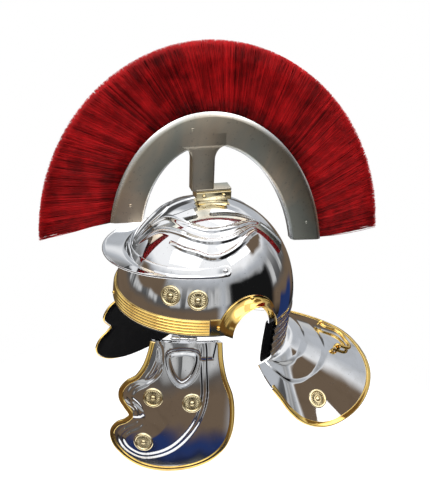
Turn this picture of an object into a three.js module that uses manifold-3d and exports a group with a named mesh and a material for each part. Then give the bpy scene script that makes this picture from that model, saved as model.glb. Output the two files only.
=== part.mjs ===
// A Roman officer's helmet: a one-piece steel bowl with a ribbed nape and a flared neck guard, brass trims,
// hinged cheek guards, a carrying handle and a fore-and-aft crest. Millimetres, +Z up, the face looks to -Y.
// The group's origin is the inside of the crown, where a head carries the helmet.
import * as THREE from 'three';
import { mergeVertices } from 'three/addons/utils/BufferGeometryUtils.js';
import Module from 'manifold-3d';

const wasm = await Module();
wasm.setup();

// Driving dimensions: skull
const SKULL_HALF_WIDTH = 101.5;
const SKULL_HALF_LENGTH = 115;
const SKULL_HEIGHT = 127.5;
const STEEL = 1.6;
const BRASS = 1.3;
const GAP = 0.3;

// Driving dimensions: ear openings
const EAR_CENTRE = 31;
const EAR_HALF_LENGTH = 26;
const EAR_HEIGHT = 32;

// Driving dimensions: nape, its lining and the neck guard
const NAPE_START = 70;
const NAPE_DEPTH = 64;
const NAPE_TUCK = 0.045;
const NAPE_RIBS = 5;
const NAPE_RIB_HEIGHT = 1.8;
const LINING_THICKNESS = 3;
const LINING_EDGE = 13;
const GUARD_HALF_WIDTH = 135.7;
const GUARD_REACH = 126;
const GUARD_DROP = 66;
const GUARD_STEP = 1.2;
const NECK_TRIM_WIDTH = 5;

// Driving dimensions: forehead
const BROW_RELIEF = 2.4;
const BROW_RIDGE_WIDTH = 9;
const VISOR_HEIGHT = 70;
const VISOR_STRAP = 11;
const VISOR_PROJECTION = 26;
const VISOR_LIFT = 6;
const BAND_HEIGHT = 19;
const BAND_RIBS = 5;
const BAND_RIB_HEIGHT = 1.2;
const BAND_RISE = 3;

// Driving dimensions: ear guards
const EAR_FLARE = 11;
const EAR_GUARD_WIDTH = 17;
const EAR_GUARD_TAPER = 0.5;

// Driving dimensions: cheek guards
const CHEEK_HEIGHT = 168;
const CHEEK_WIDTH = 152;
const CHEEK_CURL = 10;
const CHEEK_FLARE = 38;
const CHEEK_RELIEF = 2.2;
const CHEEK_TRIM_WIDTH = 4.5;
const CHEEK_TURN = 15;
const HINGE_RADIUS = 2.6;
const HINGE_PIN_RADIUS = 1.2;
const HINGE_LENGTH = 30;
const HINGE_LEAF_HEIGHT = 14;
const HINGE_PLACE = -48;

// Driving dimensions: rosettes and rivets
const ROSETTE_RADIUS = 12;
const ROSETTE_HEIGHT = 3.2;
const RIVET_RADIUS = 3;

// Driving dimensions: crest
const CREST_THICKNESS = 17;
const CREST_HALF_LENGTH = 134;
const CREST_HALF_HEIGHT = 187;
const CREST_BAND = 40;
const CREST_TILT = 12.4;
const CREST_CENTRE = 16.5;
const CREST_BASE = 53.6;
const CREST_FRONT_ANGLE = 27;
const CREST_REAR_ANGLE = 186;
const CREST_BEVEL = 4;
const SLOT_DEPTH = 12;
const POST_WIDTH = 27;
const POST_PLACE = -8;
const POST_FILLET = 14;
const FIXTURE_LENGTH = 43;
const FIXTURE_WIDTH = 22;
const FIXTURE_PLACE = 5;
const FIXTURE_HEIGHT = 14.5;
const FOOT_HEIGHT = 3;
const HAIR_LENGTH = 79;
const HAIR_OVER = 69;
const HAIR_THICKNESS = 13;
const HAIR_LOCKS = 20;

// Driving dimensions: carrying handle
const HANDLE_SPAN = 58;
const HANDLE_REACH = 30;
const HANDLE_RADIUS = 2.6;
const HANDLE_PLAY = 0.8;
const HANDLE_PLACE = 185;

// Numbers of steps along the surfaces
const SKULL_ROWS = 8;
const FRONT_STEPS = 9;
const EAR_STEPS = 5;
const NAPE_STEPS = 8;
const BAND_STEPS = 16;
const CREST_STEPS = 24;

const vector = (x, y, z) => new THREE.Vector3(x, y, z);
const radians = THREE.MathUtils.degToRad;

// Finishes: colour, roughness and metalness
const FINISHES = {
  steel: [0xc9cdd2, 0.12, 1],
  satin: [0xa9a9a4, 0.38, 1],
  brass: [0xd8b154, 0.25, 1],
  hair: [0x8c1420, 0.8, 0],
  lining: [0x15161a, 0.85, 0],
};

const helmet = new THREE.Group();
helmet.position.z = -(SKULL_HEIGHT - STEEL);

function add(name, finish, geometry) {
  const [color, roughness, metalness] = FINISHES[finish];
  const mesh = new THREE.Mesh(geometry, new THREE.MeshStandardMaterial({ color, roughness, metalness }));
  mesh.name = name;
  helmet.add(mesh);
}

// Triangles become a closed geometry with merged corners that faces out
function closedGeometry(triangles) {
  const kept = triangles.filter(([a, b, c]) => a.distanceTo(b) > 1e-4 && b.distanceTo(c) > 1e-4
    && c.distanceTo(a) > 1e-4);
  let volume = 0;
  for (const [a, b, c] of kept) {
    volume += a.dot(b.clone().cross(c));
  }
  const order = volume > 0 ? [0, 1, 2] : [0, 2, 1];
  const places = kept.flatMap((corners) => order.flatMap((k) => corners[k].toArray()));
  const geometry = new THREE.BufferGeometry();
  geometry.setAttribute('position', new THREE.Float32BufferAttribute(places, 3));
  return mergeVertices(geometry, 1e-4);
}

function quad(triangles, a, b, c, d) {
  triangles.push([a, b, c]);
  triangles.push([a, c, d]);
}

// A wall between an outer and an inner grid of points; present(i, j) says which of its cells exist
function wall(outer, inner, present, wrapped) {
  const triangles = [];
  const count = outer.length;
  const spans = wrapped ? count : count - 1;
  const exists = (i, j) => {
    const k = wrapped ? (i + spans) % spans : i;
    return k >= 0 && k < spans && j >= 0 && j < outer[0].length - 1 && present(k, j);
  };
  for (let i = 0; i < spans; i += 1) {
    for (let j = 0; j < outer[0].length - 1; j += 1) {
      if (exists(i, j)) {
        const n = (i + 1) % count;
        const corners = [[i, j], [i, j + 1], [n, j + 1], [n, j]];
        const sides = [[i - 1, j], [i, j + 1], [i + 1, j], [i, j - 1]];
        quad(triangles, ...corners.map(([p, q]) => outer[p][q]));
        quad(triangles, ...corners.toReversed().map(([p, q]) => inner[p][q]));
        sides.forEach(([p, q], k) => {
          if (!exists(p, q)) {
            const [start, end] = [corners[k], corners[(k + 1) % 4]];
            quad(triangles, outer[end[0]][end[1]], outer[start[0]][start[1]],
              inner[start[0]][start[1]], inner[end[0]][end[1]]);
          }
        });
      }
    }
  }
  return closedGeometry(triangles);
}

// A closed profile carried through a row of rings; profile is the flat outline that closes its two ends
function sweep(rings, profile) {
  const triangles = [];
  const count = rings[0].length;
  for (let k = 0; k < rings.length - 1; k += 1) {
    for (let m = 0; m < count; m += 1) {
      const n = (m + 1) % count;
      quad(triangles, rings[k][m], rings[k][n], rings[k + 1][n], rings[k + 1][m]);
    }
  }
  if (profile) {
    const last = rings.length - 1;
    const turn = THREE.ShapeUtils.isClockWise(profile) ? 1 : -1;
    const flat = profile.map((p) => p.clone());
    for (const [a, b, c] of THREE.ShapeUtils.triangulateShape(flat, [])) {
      const [p, q] = turn > 0 ? [b, c] : [c, b];
      triangles.push([rings[0][a], rings[0][p], rings[0][q]]);
      triangles.push([rings[last][a], rings[last][q], rings[last][p]]);
    }
  }
  return closedGeometry(triangles);
}

// An outline in the (y, z) plane carried along X
function prism(outline, low, high, bevel = 0) {
  const shape = new THREE.Shape(outline.map(([y, z]) => new THREE.Vector2(y, z)));
  const geometry = new THREE.ExtrudeGeometry(shape, {
    depth: high - low - 2 * bevel,
    bevelEnabled: bevel > 0,
    bevelThickness: bevel,
    bevelSize: bevel,
    bevelOffset: -bevel,
    bevelSegments: 1,
  });
  geometry.translate(0, 0, low + bevel);
  geometry.applyMatrix4(new THREE.Matrix4().makeBasis(vector(0, 1, 0), vector(0, 0, 1), vector(1, 0, 0)));
  return geometry;
}

function solid(geometry) {
  const bare = geometry.clone();
  bare.deleteAttribute('normal');
  bare.deleteAttribute('uv');
  const merged = mergeVertices(bare, 1e-4);
  const vertProperties = new Float32Array(merged.attributes.position.array);
  const triVerts = new Uint32Array(merged.index.array);
  return new wasm.Manifold(new wasm.Mesh({ numProp: 3, vertProperties, triVerts }));
}

function fromSolid(body) {
  const mesh = body.getMesh();
  const geometry = new THREE.BufferGeometry();
  geometry.setAttribute('position', new THREE.BufferAttribute(new Float32Array(mesh.vertProperties), 3));
  geometry.setIndex(new THREE.BufferAttribute(new Uint32Array(mesh.triVerts), 1));
  return geometry;
}

function join(...geometries) {
  return fromSolid(geometries.map(solid).reduce((whole, piece) => whole.add(piece)));
}

function cut(geometry, ...tools) {
  return fromSolid(tools.map(solid).reduce((whole, tool) => whole.subtract(tool), solid(geometry)));
}

function common(geometry, other) {
  return fromSolid(solid(geometry).intersect(solid(other)));
}

// The same piece on the wearer's right
function mirrored(geometry) {
  const flat = geometry.index ? geometry.toNonIndexed() : geometry;
  const place = flat.attributes.position;
  const triangles = [];
  for (let k = 0; k < place.count; k += 3) {
    const corners = [k, k + 1, k + 2].map((n) => vector(-place.getX(n), place.getY(n), place.getZ(n)));
    triangles.push([corners[0], corners[2], corners[1]]);
  }
  return closedGeometry(triangles);
}

// Skull: an ellipsoid; azimuth turns from the face (0) past the left ear, elevation rises from the rim
function skullPoint(azimuth, elevation, offset) {
  const flat = Math.cos(elevation);
  return vector(
    (SKULL_HALF_WIDTH + offset) * flat * Math.sin(azimuth),
    -(SKULL_HALF_LENGTH + offset) * flat * Math.cos(azimuth),
    (SKULL_HEIGHT + offset) * Math.sin(elevation),
  );
}

// A point of the skull under plan shares: across of its half-width and along of its half-length
function skullUnder(across, along, offset) {
  const reach = Math.min(1, Math.hypot(across, along));
  return skullPoint(Math.atan2(across, -along), Math.acos(reach), offset);
}

function skullNormal(point) {
  return vector(point.x / SKULL_HALF_WIDTH ** 2, point.y / SKULL_HALF_LENGTH ** 2,
    point.z / SKULL_HEIGHT ** 2).normalize();
}

const elevationAt = (height) => Math.asin(height / SKULL_HEIGHT);
const azimuthBehind = (y) => Math.PI / 2 + Math.asin(y / SKULL_HALF_LENGTH);

// The rim rises over each ear in an arch
function rimHeight(azimuth) {
  const along = (-SKULL_HALF_LENGTH * Math.cos(azimuth) - EAR_CENTRE) / EAR_HALF_LENGTH;
  return Math.abs(along) < 1 ? EAR_HEIGHT * Math.sqrt(1 - along ** 2) : 0;
}

const napeStart = azimuthBehind(NAPE_START);

function skullColumns() {
  const half = [];
  const earStart = azimuthBehind(EAR_CENTRE - EAR_HALF_LENGTH);
  for (let k = 0; k < FRONT_STEPS; k += 1) {
    half.push(earStart * k / FRONT_STEPS);
  }
  for (let k = 0; k < EAR_STEPS; k += 1) {
    half.push(azimuthBehind(EAR_CENTRE - EAR_HALF_LENGTH * Math.cos(Math.PI * k / EAR_STEPS)));
  }
  half.push(azimuthBehind(EAR_CENTRE + EAR_HALF_LENGTH));
  for (let k = 0; k <= NAPE_STEPS; k += 1) {
    half.push(napeStart + (Math.PI - napeStart) * k / NAPE_STEPS);
  }
  const back = half.slice(1, -1).toReversed().map((azimuth) => 2 * Math.PI - azimuth);
  return [...half, ...back];
}

// Neck guard: outline from the front corner to the middle of the rear edge, as shares of the half-width,
// of the reach behind the nape and of the drop below it
const GUARD_OUTLINE = [
  { side: 0.718, back: -0.517, drop: -0.168 },
  { side: 0.830, back: -0.457, drop: 0.051 },
  { side: 0.905, back: -0.342, drop: 0.364 },
  { side: 0.955, back: -0.228, drop: 0.678 },
  { side: 0.987, back: -0.101, drop: 0.896 },
  { side: 1.000, back: 0.051, drop: 1.024 },
  { side: 0.989, back: 0.192, drop: 1.072 },
  { side: 0.946, back: 0.356, drop: 1.061 },
  { side: 0.862, back: 0.518, drop: 1.059 },
  { side: 0.736, back: 0.680, drop: 1.056 },
  { side: 0.566, back: 0.831, drop: 1.034 },
  { side: 0.381, back: 0.935, drop: 1.002 },
  { side: 0.188, back: 0.987, drop: 0.979 },
  { side: 0.000, back: 1.000, drop: 0.967 },
];
const NAPE_REAR = SKULL_HALF_LENGTH * (1 - NAPE_TUCK);
const guardCurve = new THREE.CatmullRomCurve3(GUARD_OUTLINE.map((row) => vector(
  row.side * GUARD_HALF_WIDTH,
  NAPE_REAR + row.back * GUARD_REACH,
  -NAPE_DEPTH - row.drop * GUARD_DROP,
)));

// The guard's edge opposite a nape column; share runs from the left corner (0) to the right one (2)
function guardEdge(share) {
  const point = guardCurve.getPoint(share <= 1 ? share : 2 - share);
  return share <= 1 ? point : vector(-point.x, point.y, point.z);
}

const napeShare = (azimuth) => (azimuth - napeStart) / (Math.PI - napeStart);

function napePoint(azimuth, down, offset) {
  const tuck = 1 - NAPE_TUCK * Math.sin(down * Math.PI / 2);
  return vector(
    (SKULL_HALF_WIDTH * tuck + offset) * Math.sin(azimuth),
    -(SKULL_HALF_LENGTH * tuck + offset) * Math.cos(azimuth),
    -NAPE_DEPTH * down,
  );
}

// Rows across the guard from the nape to its edge: share of the way and raised steps
const GUARD_ROWS = [
  { out: 0.2, raise: 2 },
  { out: 0.23, raise: 1 },
  { out: 0.44, raise: 1 },
  { out: 0.47, raise: 0 },
  { out: 0.72, raise: 0 },
  { out: 1, raise: 0 },
];

function guardNormal(azimuth) {
  const share = napeShare(azimuth);
  const step = 0.02;
  const before = guardEdge(Math.max(0, share - step));
  const after = guardEdge(Math.min(2, share + step));
  const outward = guardEdge(share).sub(napePoint(azimuth, 1, 0));
  return outward.cross(after.sub(before)).normalize();
}

function guardPoint(azimuth, out, offset) {
  const point = napePoint(azimuth, 1, 0).lerp(guardEdge(napeShare(azimuth)), out);
  return point.addScaledVector(guardNormal(azimuth), offset);
}

const columns = skullColumns();
const isNape = (azimuth) => azimuth > napeStart - 1e-6 && azimuth < 2 * Math.PI - napeStart + 1e-6;
const NAPE_ROWS = 2 * NAPE_RIBS + 1;

function bowlSurface(offset) {
  return columns.map((azimuth) => {
    const rim = elevationAt(rimHeight(azimuth));
    const points = [];
    for (let j = 0; j <= SKULL_ROWS; j += 1) {
      points.push(skullPoint(azimuth, Math.PI / 2 + (rim - Math.PI / 2) * j / SKULL_ROWS, offset));
    }
    for (let j = 1; j <= NAPE_ROWS; j += 1) {
      const rib = j % 2 === 0 && j < NAPE_ROWS ? NAPE_RIB_HEIGHT : 0;
      points.push(napePoint(azimuth, j / NAPE_ROWS, offset + rib));
    }
    for (const row of GUARD_ROWS) {
      const height = offset + row.raise * GUARD_STEP;
      points.push(isNape(azimuth) ? guardPoint(azimuth, row.out, height) : points.at(-1));
    }
    return points;
  });
}

// Eyebrow ridges: places along each ridge as plan shares of the skull's half-width and half-length
const BROW_RIDGES = [
  [[0.02, -0.76], [0.03, -0.6], [0.08, -0.46], [0.26, -0.34], [0.4, -0.22], [0.48, -0.08], [0.46, 0.13],
    [0.27, 0.49]],
  [[0.1, -0.76], [0.14, -0.68], [0.2, -0.56], [0.3, -0.46], [0.42, -0.35], [0.52, -0.24], [0.585, -0.09],
    [0.57, 0.12], [0.37, 0.42]],
  [[0.44, -0.47], [0.56, -0.36], [0.64, -0.24], [0.7, -0.13], [0.71, -0.02], [0.65, 0.15], [0.42, 0.42]],
];
const RIDGE_STEPS = 5;

function browRidge(path) {
  const curve = new THREE.CatmullRomCurve3(path.map(([across, along]) => vector(across, along, 0)));
  const profile = [[-0.5, -0.3], [0.5, -0.3], [0.16, 1], [-0.16, 1]];
  const rings = [];
  for (let k = 0; k <= RIDGE_STEPS; k += 1) {
    const here = curve.getPoint(k / RIDGE_STEPS);
    const next = curve.getPoint(Math.min(1, k / RIDGE_STEPS + 0.01));
    const last = curve.getPoint(Math.max(0, k / RIDGE_STEPS - 0.01));
    const point = skullUnder(here.x, here.y, 0);
    const along = skullUnder(next.x, next.y, 0).sub(skullUnder(last.x, last.y, 0));
    const normal = skullNormal(point);
    const side = along.cross(normal).normalize();
    const swell = 0.35 + 0.65 * Math.sin(Math.PI * k / RIDGE_STEPS) ** 0.5;
    rings.push(profile.map(([u, v]) => point.clone()
      .addScaledVector(side, u * BROW_RIDGE_WIDTH * swell)
      .addScaledVector(normal, v * BROW_RELIEF * (v > 0 ? swell : 1))));
  }
  return sweep(rings, profile.map(([u, v]) => new THREE.Vector2(u, v)));
}

function bowl() {
  const shell = wall(bowlSurface(0), bowlSurface(-STEEL), (i, j) => {
    const nape = isNape(columns[i]) && isNape(columns[(i + 1) % columns.length]);
    return j < SKULL_ROWS || nape;
  }, true);
  const ridges = BROW_RIDGES.map(browRidge);
  return join(shell, ...ridges, ...ridges.map(mirrored));
}

add('bowl', 'steel', bowl());

// Lining: a dark pad inside the nape whose two front edges stand forward of the steel
function napeLining() {
  const start = azimuthBehind(NAPE_START - LINING_EDGE);
  const steps = 2 * NAPE_STEPS + 2;
  const depth = STEEL + GAP;
  const grid = (offset) => Array.from({ length: steps + 1 }, (_, k) => {
    const azimuth = start + (2 * Math.PI - 2 * start) * k / steps;
    return [-0.02, 0.32, 0.64, 0.96].map((down) => napePoint(azimuth, Math.max(0, down), offset)
      .setZ(-NAPE_DEPTH * down));
  });
  return wall(grid(-depth), grid(-depth - LINING_THICKNESS), () => true, false);
}

add('nape_lining', 'lining', napeLining());

// Neck trim: a brass angle over the guard's edge, from corner to corner
function neckTrim() {
  const profile = [[-NECK_TRIM_WIDTH, GAP], [GAP, GAP], [GAP, -STEEL - GAP], [GAP + BRASS, -STEEL - GAP],
    [GAP + BRASS, GAP + BRASS], [-NECK_TRIM_WIDTH, GAP + BRASS]];
  const edges = columns.filter(isNape).slice(1, -1);
  const rings = edges.map((azimuth) => {
    const edge = guardPoint(azimuth, 1, 0);
    const outward = edge.clone().sub(guardPoint(azimuth, GUARD_ROWS.at(-2).out, 0)).normalize();
    const share = napeShare(azimuth);
    const along = guardEdge(Math.min(2, share + 0.02)).sub(guardEdge(Math.max(0, share - 0.02))).normalize();
    const spread = 1 / along.cross(outward).length();
    const normal = guardNormal(azimuth);
    return profile.map(([u, v]) => (
      edge.clone().addScaledVector(outward, u * spread).addScaledVector(normal, v)));
  });
  return sweep(rings, profile.map(([u, v]) => new THREE.Vector2(u, v)));
}

add('neck_trim', 'brass', neckTrim());

// Brow band: a ribbed brass strip along the rim from ear to ear
function browBand() {
  const reach = azimuthBehind(EAR_CENTRE - EAR_HALF_LENGTH) - 0.22;
  const profile = [];
  for (let k = 0; k <= 2 * BAND_RIBS; k += 1) {
    const height = BAND_RISE + BAND_HEIGHT * k / (2 * BAND_RIBS);
    profile.push(new THREE.Vector2(GAP + BRASS + (k % 2) * BAND_RIB_HEIGHT, height));
  }
  for (let k = 4; k >= 0; k -= 1) {
    profile.push(new THREE.Vector2(GAP, BAND_RISE + BAND_HEIGHT * k / 4));
  }
  const rings = [];
  for (let k = 0; k <= BAND_STEPS; k += 1) {
    const azimuth = reach * (2 * k / BAND_STEPS - 1);
    rings.push(profile.map((p) => skullPoint(azimuth, elevationAt(p.y), p.x)));
  }
  return sweep(rings, profile);
}

add('brow_band', 'brass', browBand());

// Visor: a steel angle across the forehead, riveted at both ends; share runs from end to end
const VISOR_REACH = 0.528;
const VISOR_STEPS = 26;

function visorFrame(share) {
  const azimuth = Math.PI * VISOR_REACH * share;
  const fullness = Math.cos(share * Math.PI / 2);
  return {
    azimuth,
    height: VISOR_HEIGHT + VISOR_LIFT * share ** 2,
    projection: STEEL + VISOR_PROJECTION * fullness ** 3,
    lift: VISOR_LIFT * fullness,
  };
}

function domeRivet(centre, normal, radius, height) {
  const profile = [[0, 0], [radius, 0], [radius, height * 0.4], [radius * 0.6, height * 0.9], [0, height]];
  const dome = new THREE.LatheGeometry(profile.map(([r, h]) => new THREE.Vector2(r, h)), 8);
  dome.applyQuaternion(new THREE.Quaternion().setFromUnitVectors(vector(0, 1, 0), normal));
  dome.translate(centre.x, centre.y, centre.z);
  return dome;
}

function visor() {
  const half = VISOR_STRAP / 2;
  const rings = [];
  for (let k = 0; k <= VISOR_STEPS; k += 1) {
    const { azimuth, height, projection, lift } = visorFrame(2 * k / VISOR_STEPS - 1);
    const strap = (dz, offset) => skullPoint(azimuth, elevationAt(height + dz), offset);
    const foot = strap(-half, GAP + STEEL);
    const out = vector(Math.sin(azimuth), -Math.cos(azimuth), 0);
    rings.push([
      strap(half, GAP),
      strap(half, GAP + STEEL),
      strap(-half + STEEL, GAP + STEEL),
      foot.clone().addScaledVector(out, projection).setZ(foot.z + STEEL + lift),
      foot.clone().addScaledVector(out, projection).setZ(foot.z + lift),
      strap(-half, GAP),
    ]);
  }
  const profile = [[0, 1], [0.1, 1], [0.1, 0.1], [1, 0.1], [1, 0], [0, 0]];
  let strip = sweep(rings, profile.map(([u, v]) => new THREE.Vector2(u, v)));
  for (const side of [-1, 1]) {
    const { azimuth, height } = visorFrame(0.96 * side);
    const centre = skullPoint(azimuth, elevationAt(height), GAP + STEEL / 2);
    strip = join(strip, domeRivet(centre, skullNormal(centre), RIVET_RADIUS, RIVET_RADIUS));
  }
  return strip;
}

add('brow_guard', 'steel', visor());

// Ear guards: a flared brass arch with a flat plate in front of it
function earArch(angle, rise) {
  const along = EAR_CENTRE - (EAR_HALF_LENGTH + rise) * Math.cos(angle);
  const height = BAND_RISE + (EAR_HEIGHT - BAND_RISE + rise) * Math.sin(angle);
  const elevation = elevationAt(height);
  const azimuth = Math.PI / 2 + Math.asin(along / (SKULL_HALF_LENGTH * Math.cos(elevation)));
  return { azimuth, elevation };
}

function earGuard() {
  const steps = 10;
  const rings = [];
  const rows = [
    { rise: EAR_GUARD_WIDTH, lift: GAP },
    { rise: EAR_GUARD_WIDTH * 0.62, lift: GAP + 0.6 },
    { rise: STEEL / 2, lift: GAP + EAR_FLARE },
  ];
  for (let k = 0; k <= steps; k += 1) {
    const angle = Math.PI * k / steps;
    const width = 1 - EAR_GUARD_TAPER * k / steps;
    const point = ({ rise, lift }, extra) => {
      const { azimuth, elevation } = earArch(angle, rise * width);
      return skullPoint(azimuth, elevation, lift + extra);
    };
    rings.push([...rows.map((row) => point(row, BRASS)), ...rows.toReversed().map((row) => point(row, 0))]);
  }
  const profile = [[0, 1], [5, 1.6], [16, 11], [16, 10], [5, 0.6], [0, 0]];
  const flare = sweep(rings, profile.map(([u, v]) => new THREE.Vector2(u, v)));
  const plateEnd = azimuthBehind(EAR_CENTRE - EAR_HALF_LENGTH - 3);
  const plateStart = azimuthBehind(EAR_CENTRE - EAR_HALF_LENGTH) - 0.21;
  const grid = (offset) => Array.from({ length: 4 }, (_, k) => {
    const azimuth = plateStart + (plateEnd - plateStart) * k / 3;
    return [BAND_RISE + BAND_HEIGHT, BAND_RISE].map((height) => (
      skullPoint(azimuth, elevationAt(height), offset)));
  });
  const plate = wall(grid(GAP + BRASS), grid(GAP), () => true, false);
  const rivets = [[plateStart + 0.08, BAND_RISE + BAND_HEIGHT / 2, GAP + BRASS / 2]];
  const top = earArch(Math.PI / 2, EAR_GUARD_WIDTH * (1 - EAR_GUARD_TAPER / 2) * 0.8);
  const domes = rivets.map(([azimuth, height, offset]) => {
    const centre = skullPoint(azimuth, elevationAt(height), offset);
    return domeRivet(centre, skullNormal(centre), RIVET_RADIUS * 0.8, RIVET_RADIUS);
  });
  const crown = skullPoint(top.azimuth, top.elevation, GAP + BRASS);
  domes.push(domeRivet(crown, skullNormal(crown), RIVET_RADIUS * 0.8, RIVET_RADIUS));
  return join(flare, plate, ...domes);
}

const leftEarGuard = earGuard();
add('ear_guard_left', 'brass', leftEarGuard);
add('ear_guard_right', 'brass', mirrored(leftEarGuard));

// Rosettes: a ring and a dome on a disc, turned to face along a normal
function rosette(centre, normal, sunk = 0) {
  const r = ROSETTE_RADIUS;
  const h = ROSETTE_HEIGHT;
  const profile = [[0, -sunk], [r, -sunk], [r, h * 0.5], [r * 0.8, h * 0.5], [r * 0.6, h * 0.25], [0, h]];
  const disc = new THREE.LatheGeometry(profile.map(([u, v]) => new THREE.Vector2(u, v)), 8);
  disc.applyQuaternion(new THREE.Quaternion().setFromUnitVectors(vector(0, 1, 0), normal));
  disc.translate(centre.x, centre.y, centre.z);
  return disc;
}

const BOWL_ROSETTES = [{ along: -61, height: 48 }, { along: -32, height: 46 }];
BOWL_ROSETTES.forEach(({ along, height }, k) => {
  const elevation = elevationAt(height);
  const azimuth = Math.PI / 2 + Math.asin(along / (SKULL_HALF_LENGTH * Math.cos(elevation)));
  const centre = skullPoint(azimuth, elevation, GAP);
  const left = rosette(centre, skullNormal(centre));
  add(`bowl_rosette_left_${k + 1}`, 'brass', left);
  add(`bowl_rosette_right_${k + 1}`, 'brass', mirrored(left));
});

const NECK_ROSETTE = { share: 0.47, out: 0.7 };
const neckAzimuth = napeStart + (Math.PI - napeStart) * NECK_ROSETTE.share;
const guardRoom = wall(bowlSurface(GAP), bowlSurface(-STEEL - ROSETTE_HEIGHT), (i, j) => j > SKULL_ROWS
  && isNape(columns[i]) && isNape(columns[(i + 1) % columns.length]), true);
const neckRosette = cut(rosette(guardPoint(neckAzimuth, NECK_ROSETTE.out, GAP), guardNormal(neckAzimuth),
  ROSETTE_HEIGHT / 2), guardRoom);
add('neck_rosette_left', 'brass', neckRosette);
add('neck_rosette_right', 'brass', mirrored(neckRosette));

// Crest: every outline is an ellipse in the crest's own tilted plane; angles run from the front base
const tilt = radians(CREST_TILT);

function crestPlane(u, v) {
  return [
    CREST_CENTRE + u * Math.cos(tilt) - v * Math.sin(tilt),
    CREST_BASE + u * Math.sin(tilt) + v * Math.cos(tilt),
  ];
}

function crestArc(angle, inset) {
  const turn = radians(angle);
  const along = -(CREST_HALF_LENGTH - inset) * Math.cos(turn);
  return crestPlane(along, (CREST_HALF_HEIGHT - inset) * Math.sin(turn));
}

function crestBand(from, to, outerInset, innerInset, steps, innerFrom = from, innerTo = to) {
  const outer = [];
  const inner = [];
  for (let k = 0; k <= steps; k += 1) {
    outer.push(crestArc(from + (to - from) * k / steps, outerInset));
    inner.push(crestArc(innerFrom + (innerTo - innerFrom) * k / steps, innerInset));
  }
  return [...outer.toReversed(), ...inner];
}

const fixtureTop = SKULL_HEIGHT + FIXTURE_HEIGHT;
const footTop = fixtureTop + GAP + FOOT_HEIGHT;

function box(centre, size) {
  return new THREE.BoxGeometry(...size).translate(...centre);
}

function crestBox() {
  const half = CREST_THICKNESS / 2;
  const arch = prism(crestBand(CREST_FRONT_ANGLE, CREST_REAR_ANGLE, 0, CREST_BAND, CREST_STEPS,
    CREST_FRONT_ANGLE + 3.7, CREST_REAR_ANGLE - 3), -half, half, CREST_BEVEL);
  const slotBand = crestBand(CREST_FRONT_ANGLE - 5, CREST_REAR_ANGLE + 5, -GAP - CREST_BEVEL, SLOT_DEPTH,
    CREST_STEPS);
  const slot = prism(slotBand, -HAIR_THICKNESS / 2 + 1, HAIR_THICKNESS / 2 - 1);
  const inner = CREST_HALF_HEIGHT - CREST_BAND;
  const [, windowTop] = crestPlane(0, inner);
  const front = POST_PLACE - POST_WIDTH / 2;
  const rear = POST_PLACE + POST_WIDTH / 2;
  const shape = new THREE.Shape();
  shape.moveTo(front, footTop - FOOT_HEIGHT / 2);
  shape.lineTo(rear, footTop - FOOT_HEIGHT / 2);
  shape.lineTo(rear, windowTop - POST_FILLET * 1.2);
  shape.quadraticCurveTo(rear, windowTop, rear + POST_FILLET, windowTop + 1);
  shape.lineTo(rear, windowTop + CREST_BAND / 2);
  shape.lineTo(front, windowTop + CREST_BAND / 2);
  shape.lineTo(front - POST_FILLET, windowTop + 2);
  shape.quadraticCurveTo(front, windowTop, front, windowTop - POST_FILLET * 1.2);
  const post = prism(shape.getPoints(4).map((p) => [p.x, p.y]), -half, half, CREST_BEVEL / 2);
  const footSize = [FIXTURE_WIDTH - 4, FIXTURE_LENGTH, FOOT_HEIGHT];
  const foot = box([0, FIXTURE_PLACE, footTop - FOOT_HEIGHT / 2], footSize);
  return cut(join(arch, post, foot), slot);
}

add('crest_box', 'satin', crestBox());

// Fixture: a riveted brass box on the crown that carries the crest's foot
function fixture() {
  const height = FIXTURE_HEIGHT + 14;
  const block = box([0, FIXTURE_PLACE, fixtureTop - height / 2], [FIXTURE_WIDTH, FIXTURE_LENGTH, height]);
  const body = new THREE.SphereGeometry(1, 40, 24);
  body.scale(SKULL_HALF_WIDTH + 3 * GAP, SKULL_HALF_LENGTH + 3 * GAP, SKULL_HEIGHT + 3 * GAP);
  const rivets = [-1, 1].flatMap((side) => [-1, 1].map((end) => domeRivet(
    vector(side * (FIXTURE_WIDTH / 2 - 0.5), FIXTURE_PLACE + end * FIXTURE_LENGTH * 0.28, fixtureTop - 7),
    vector(side, 0, 0),
    RIVET_RADIUS * 0.7,
    RIVET_RADIUS * 0.7,
  )));
  return cut(join(block, ...rivets), body);
}

add('crest_fixture', 'brass', fixture());

// Plume: locks of hair fused to a backing that stands in the crest box's slot
function plume() {
  const across = 2 * HAIR_LOCKS;
  const rows = [
    { out: -1, half: HAIR_THICKNESS / 2 - 1 - GAP },
    { out: 0, half: HAIR_THICKNESS / 2 - 1 - GAP },
    { out: 0.08, half: HAIR_THICKNESS / 2 },
    { out: 0.5, half: HAIR_THICKNESS / 2 },
    { out: 1, half: HAIR_THICKNESS / 2 - 1 },
  ];
  const grid = (side) => Array.from({ length: across + 1 }, (_, k) => {
    const share = k / across;
    const from = CREST_FRONT_ANGLE + 0.6 + (CREST_REAR_ANGLE - CREST_FRONT_ANGLE - 1.2) * share;
    const to = CREST_FRONT_ANGLE - 8.5 + (CREST_REAR_ANGLE - CREST_FRONT_ANGLE + 10) * share;
    return rows.map(({ out, half }) => {
      const lock = k % 2 === 0 ? 0 : 1;
      const root = crestArc(from, out < 0 ? SLOT_DEPTH - GAP : -GAP);
      const turn = radians(to);
      const tipReach = 1 - 0.012 * lock;
      const tip = crestPlane(
        -(CREST_HALF_LENGTH + HAIR_LENGTH) * tipReach * Math.cos(turn),
        (CREST_HALF_HEIGHT + HAIR_OVER) * tipReach * Math.sin(turn) + 6.6,
      );
      const way = Math.max(0, out);
      return vector(
        side * (half - (out > 0 ? lock * 1.3 : 0)),
        root[0] + (tip[0] - root[0]) * way,
        root[1] + (tip[1] - root[1]) * way,
      );
    });
  });
  return wall(grid(1), grid(-1), () => true, false);
}

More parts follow.
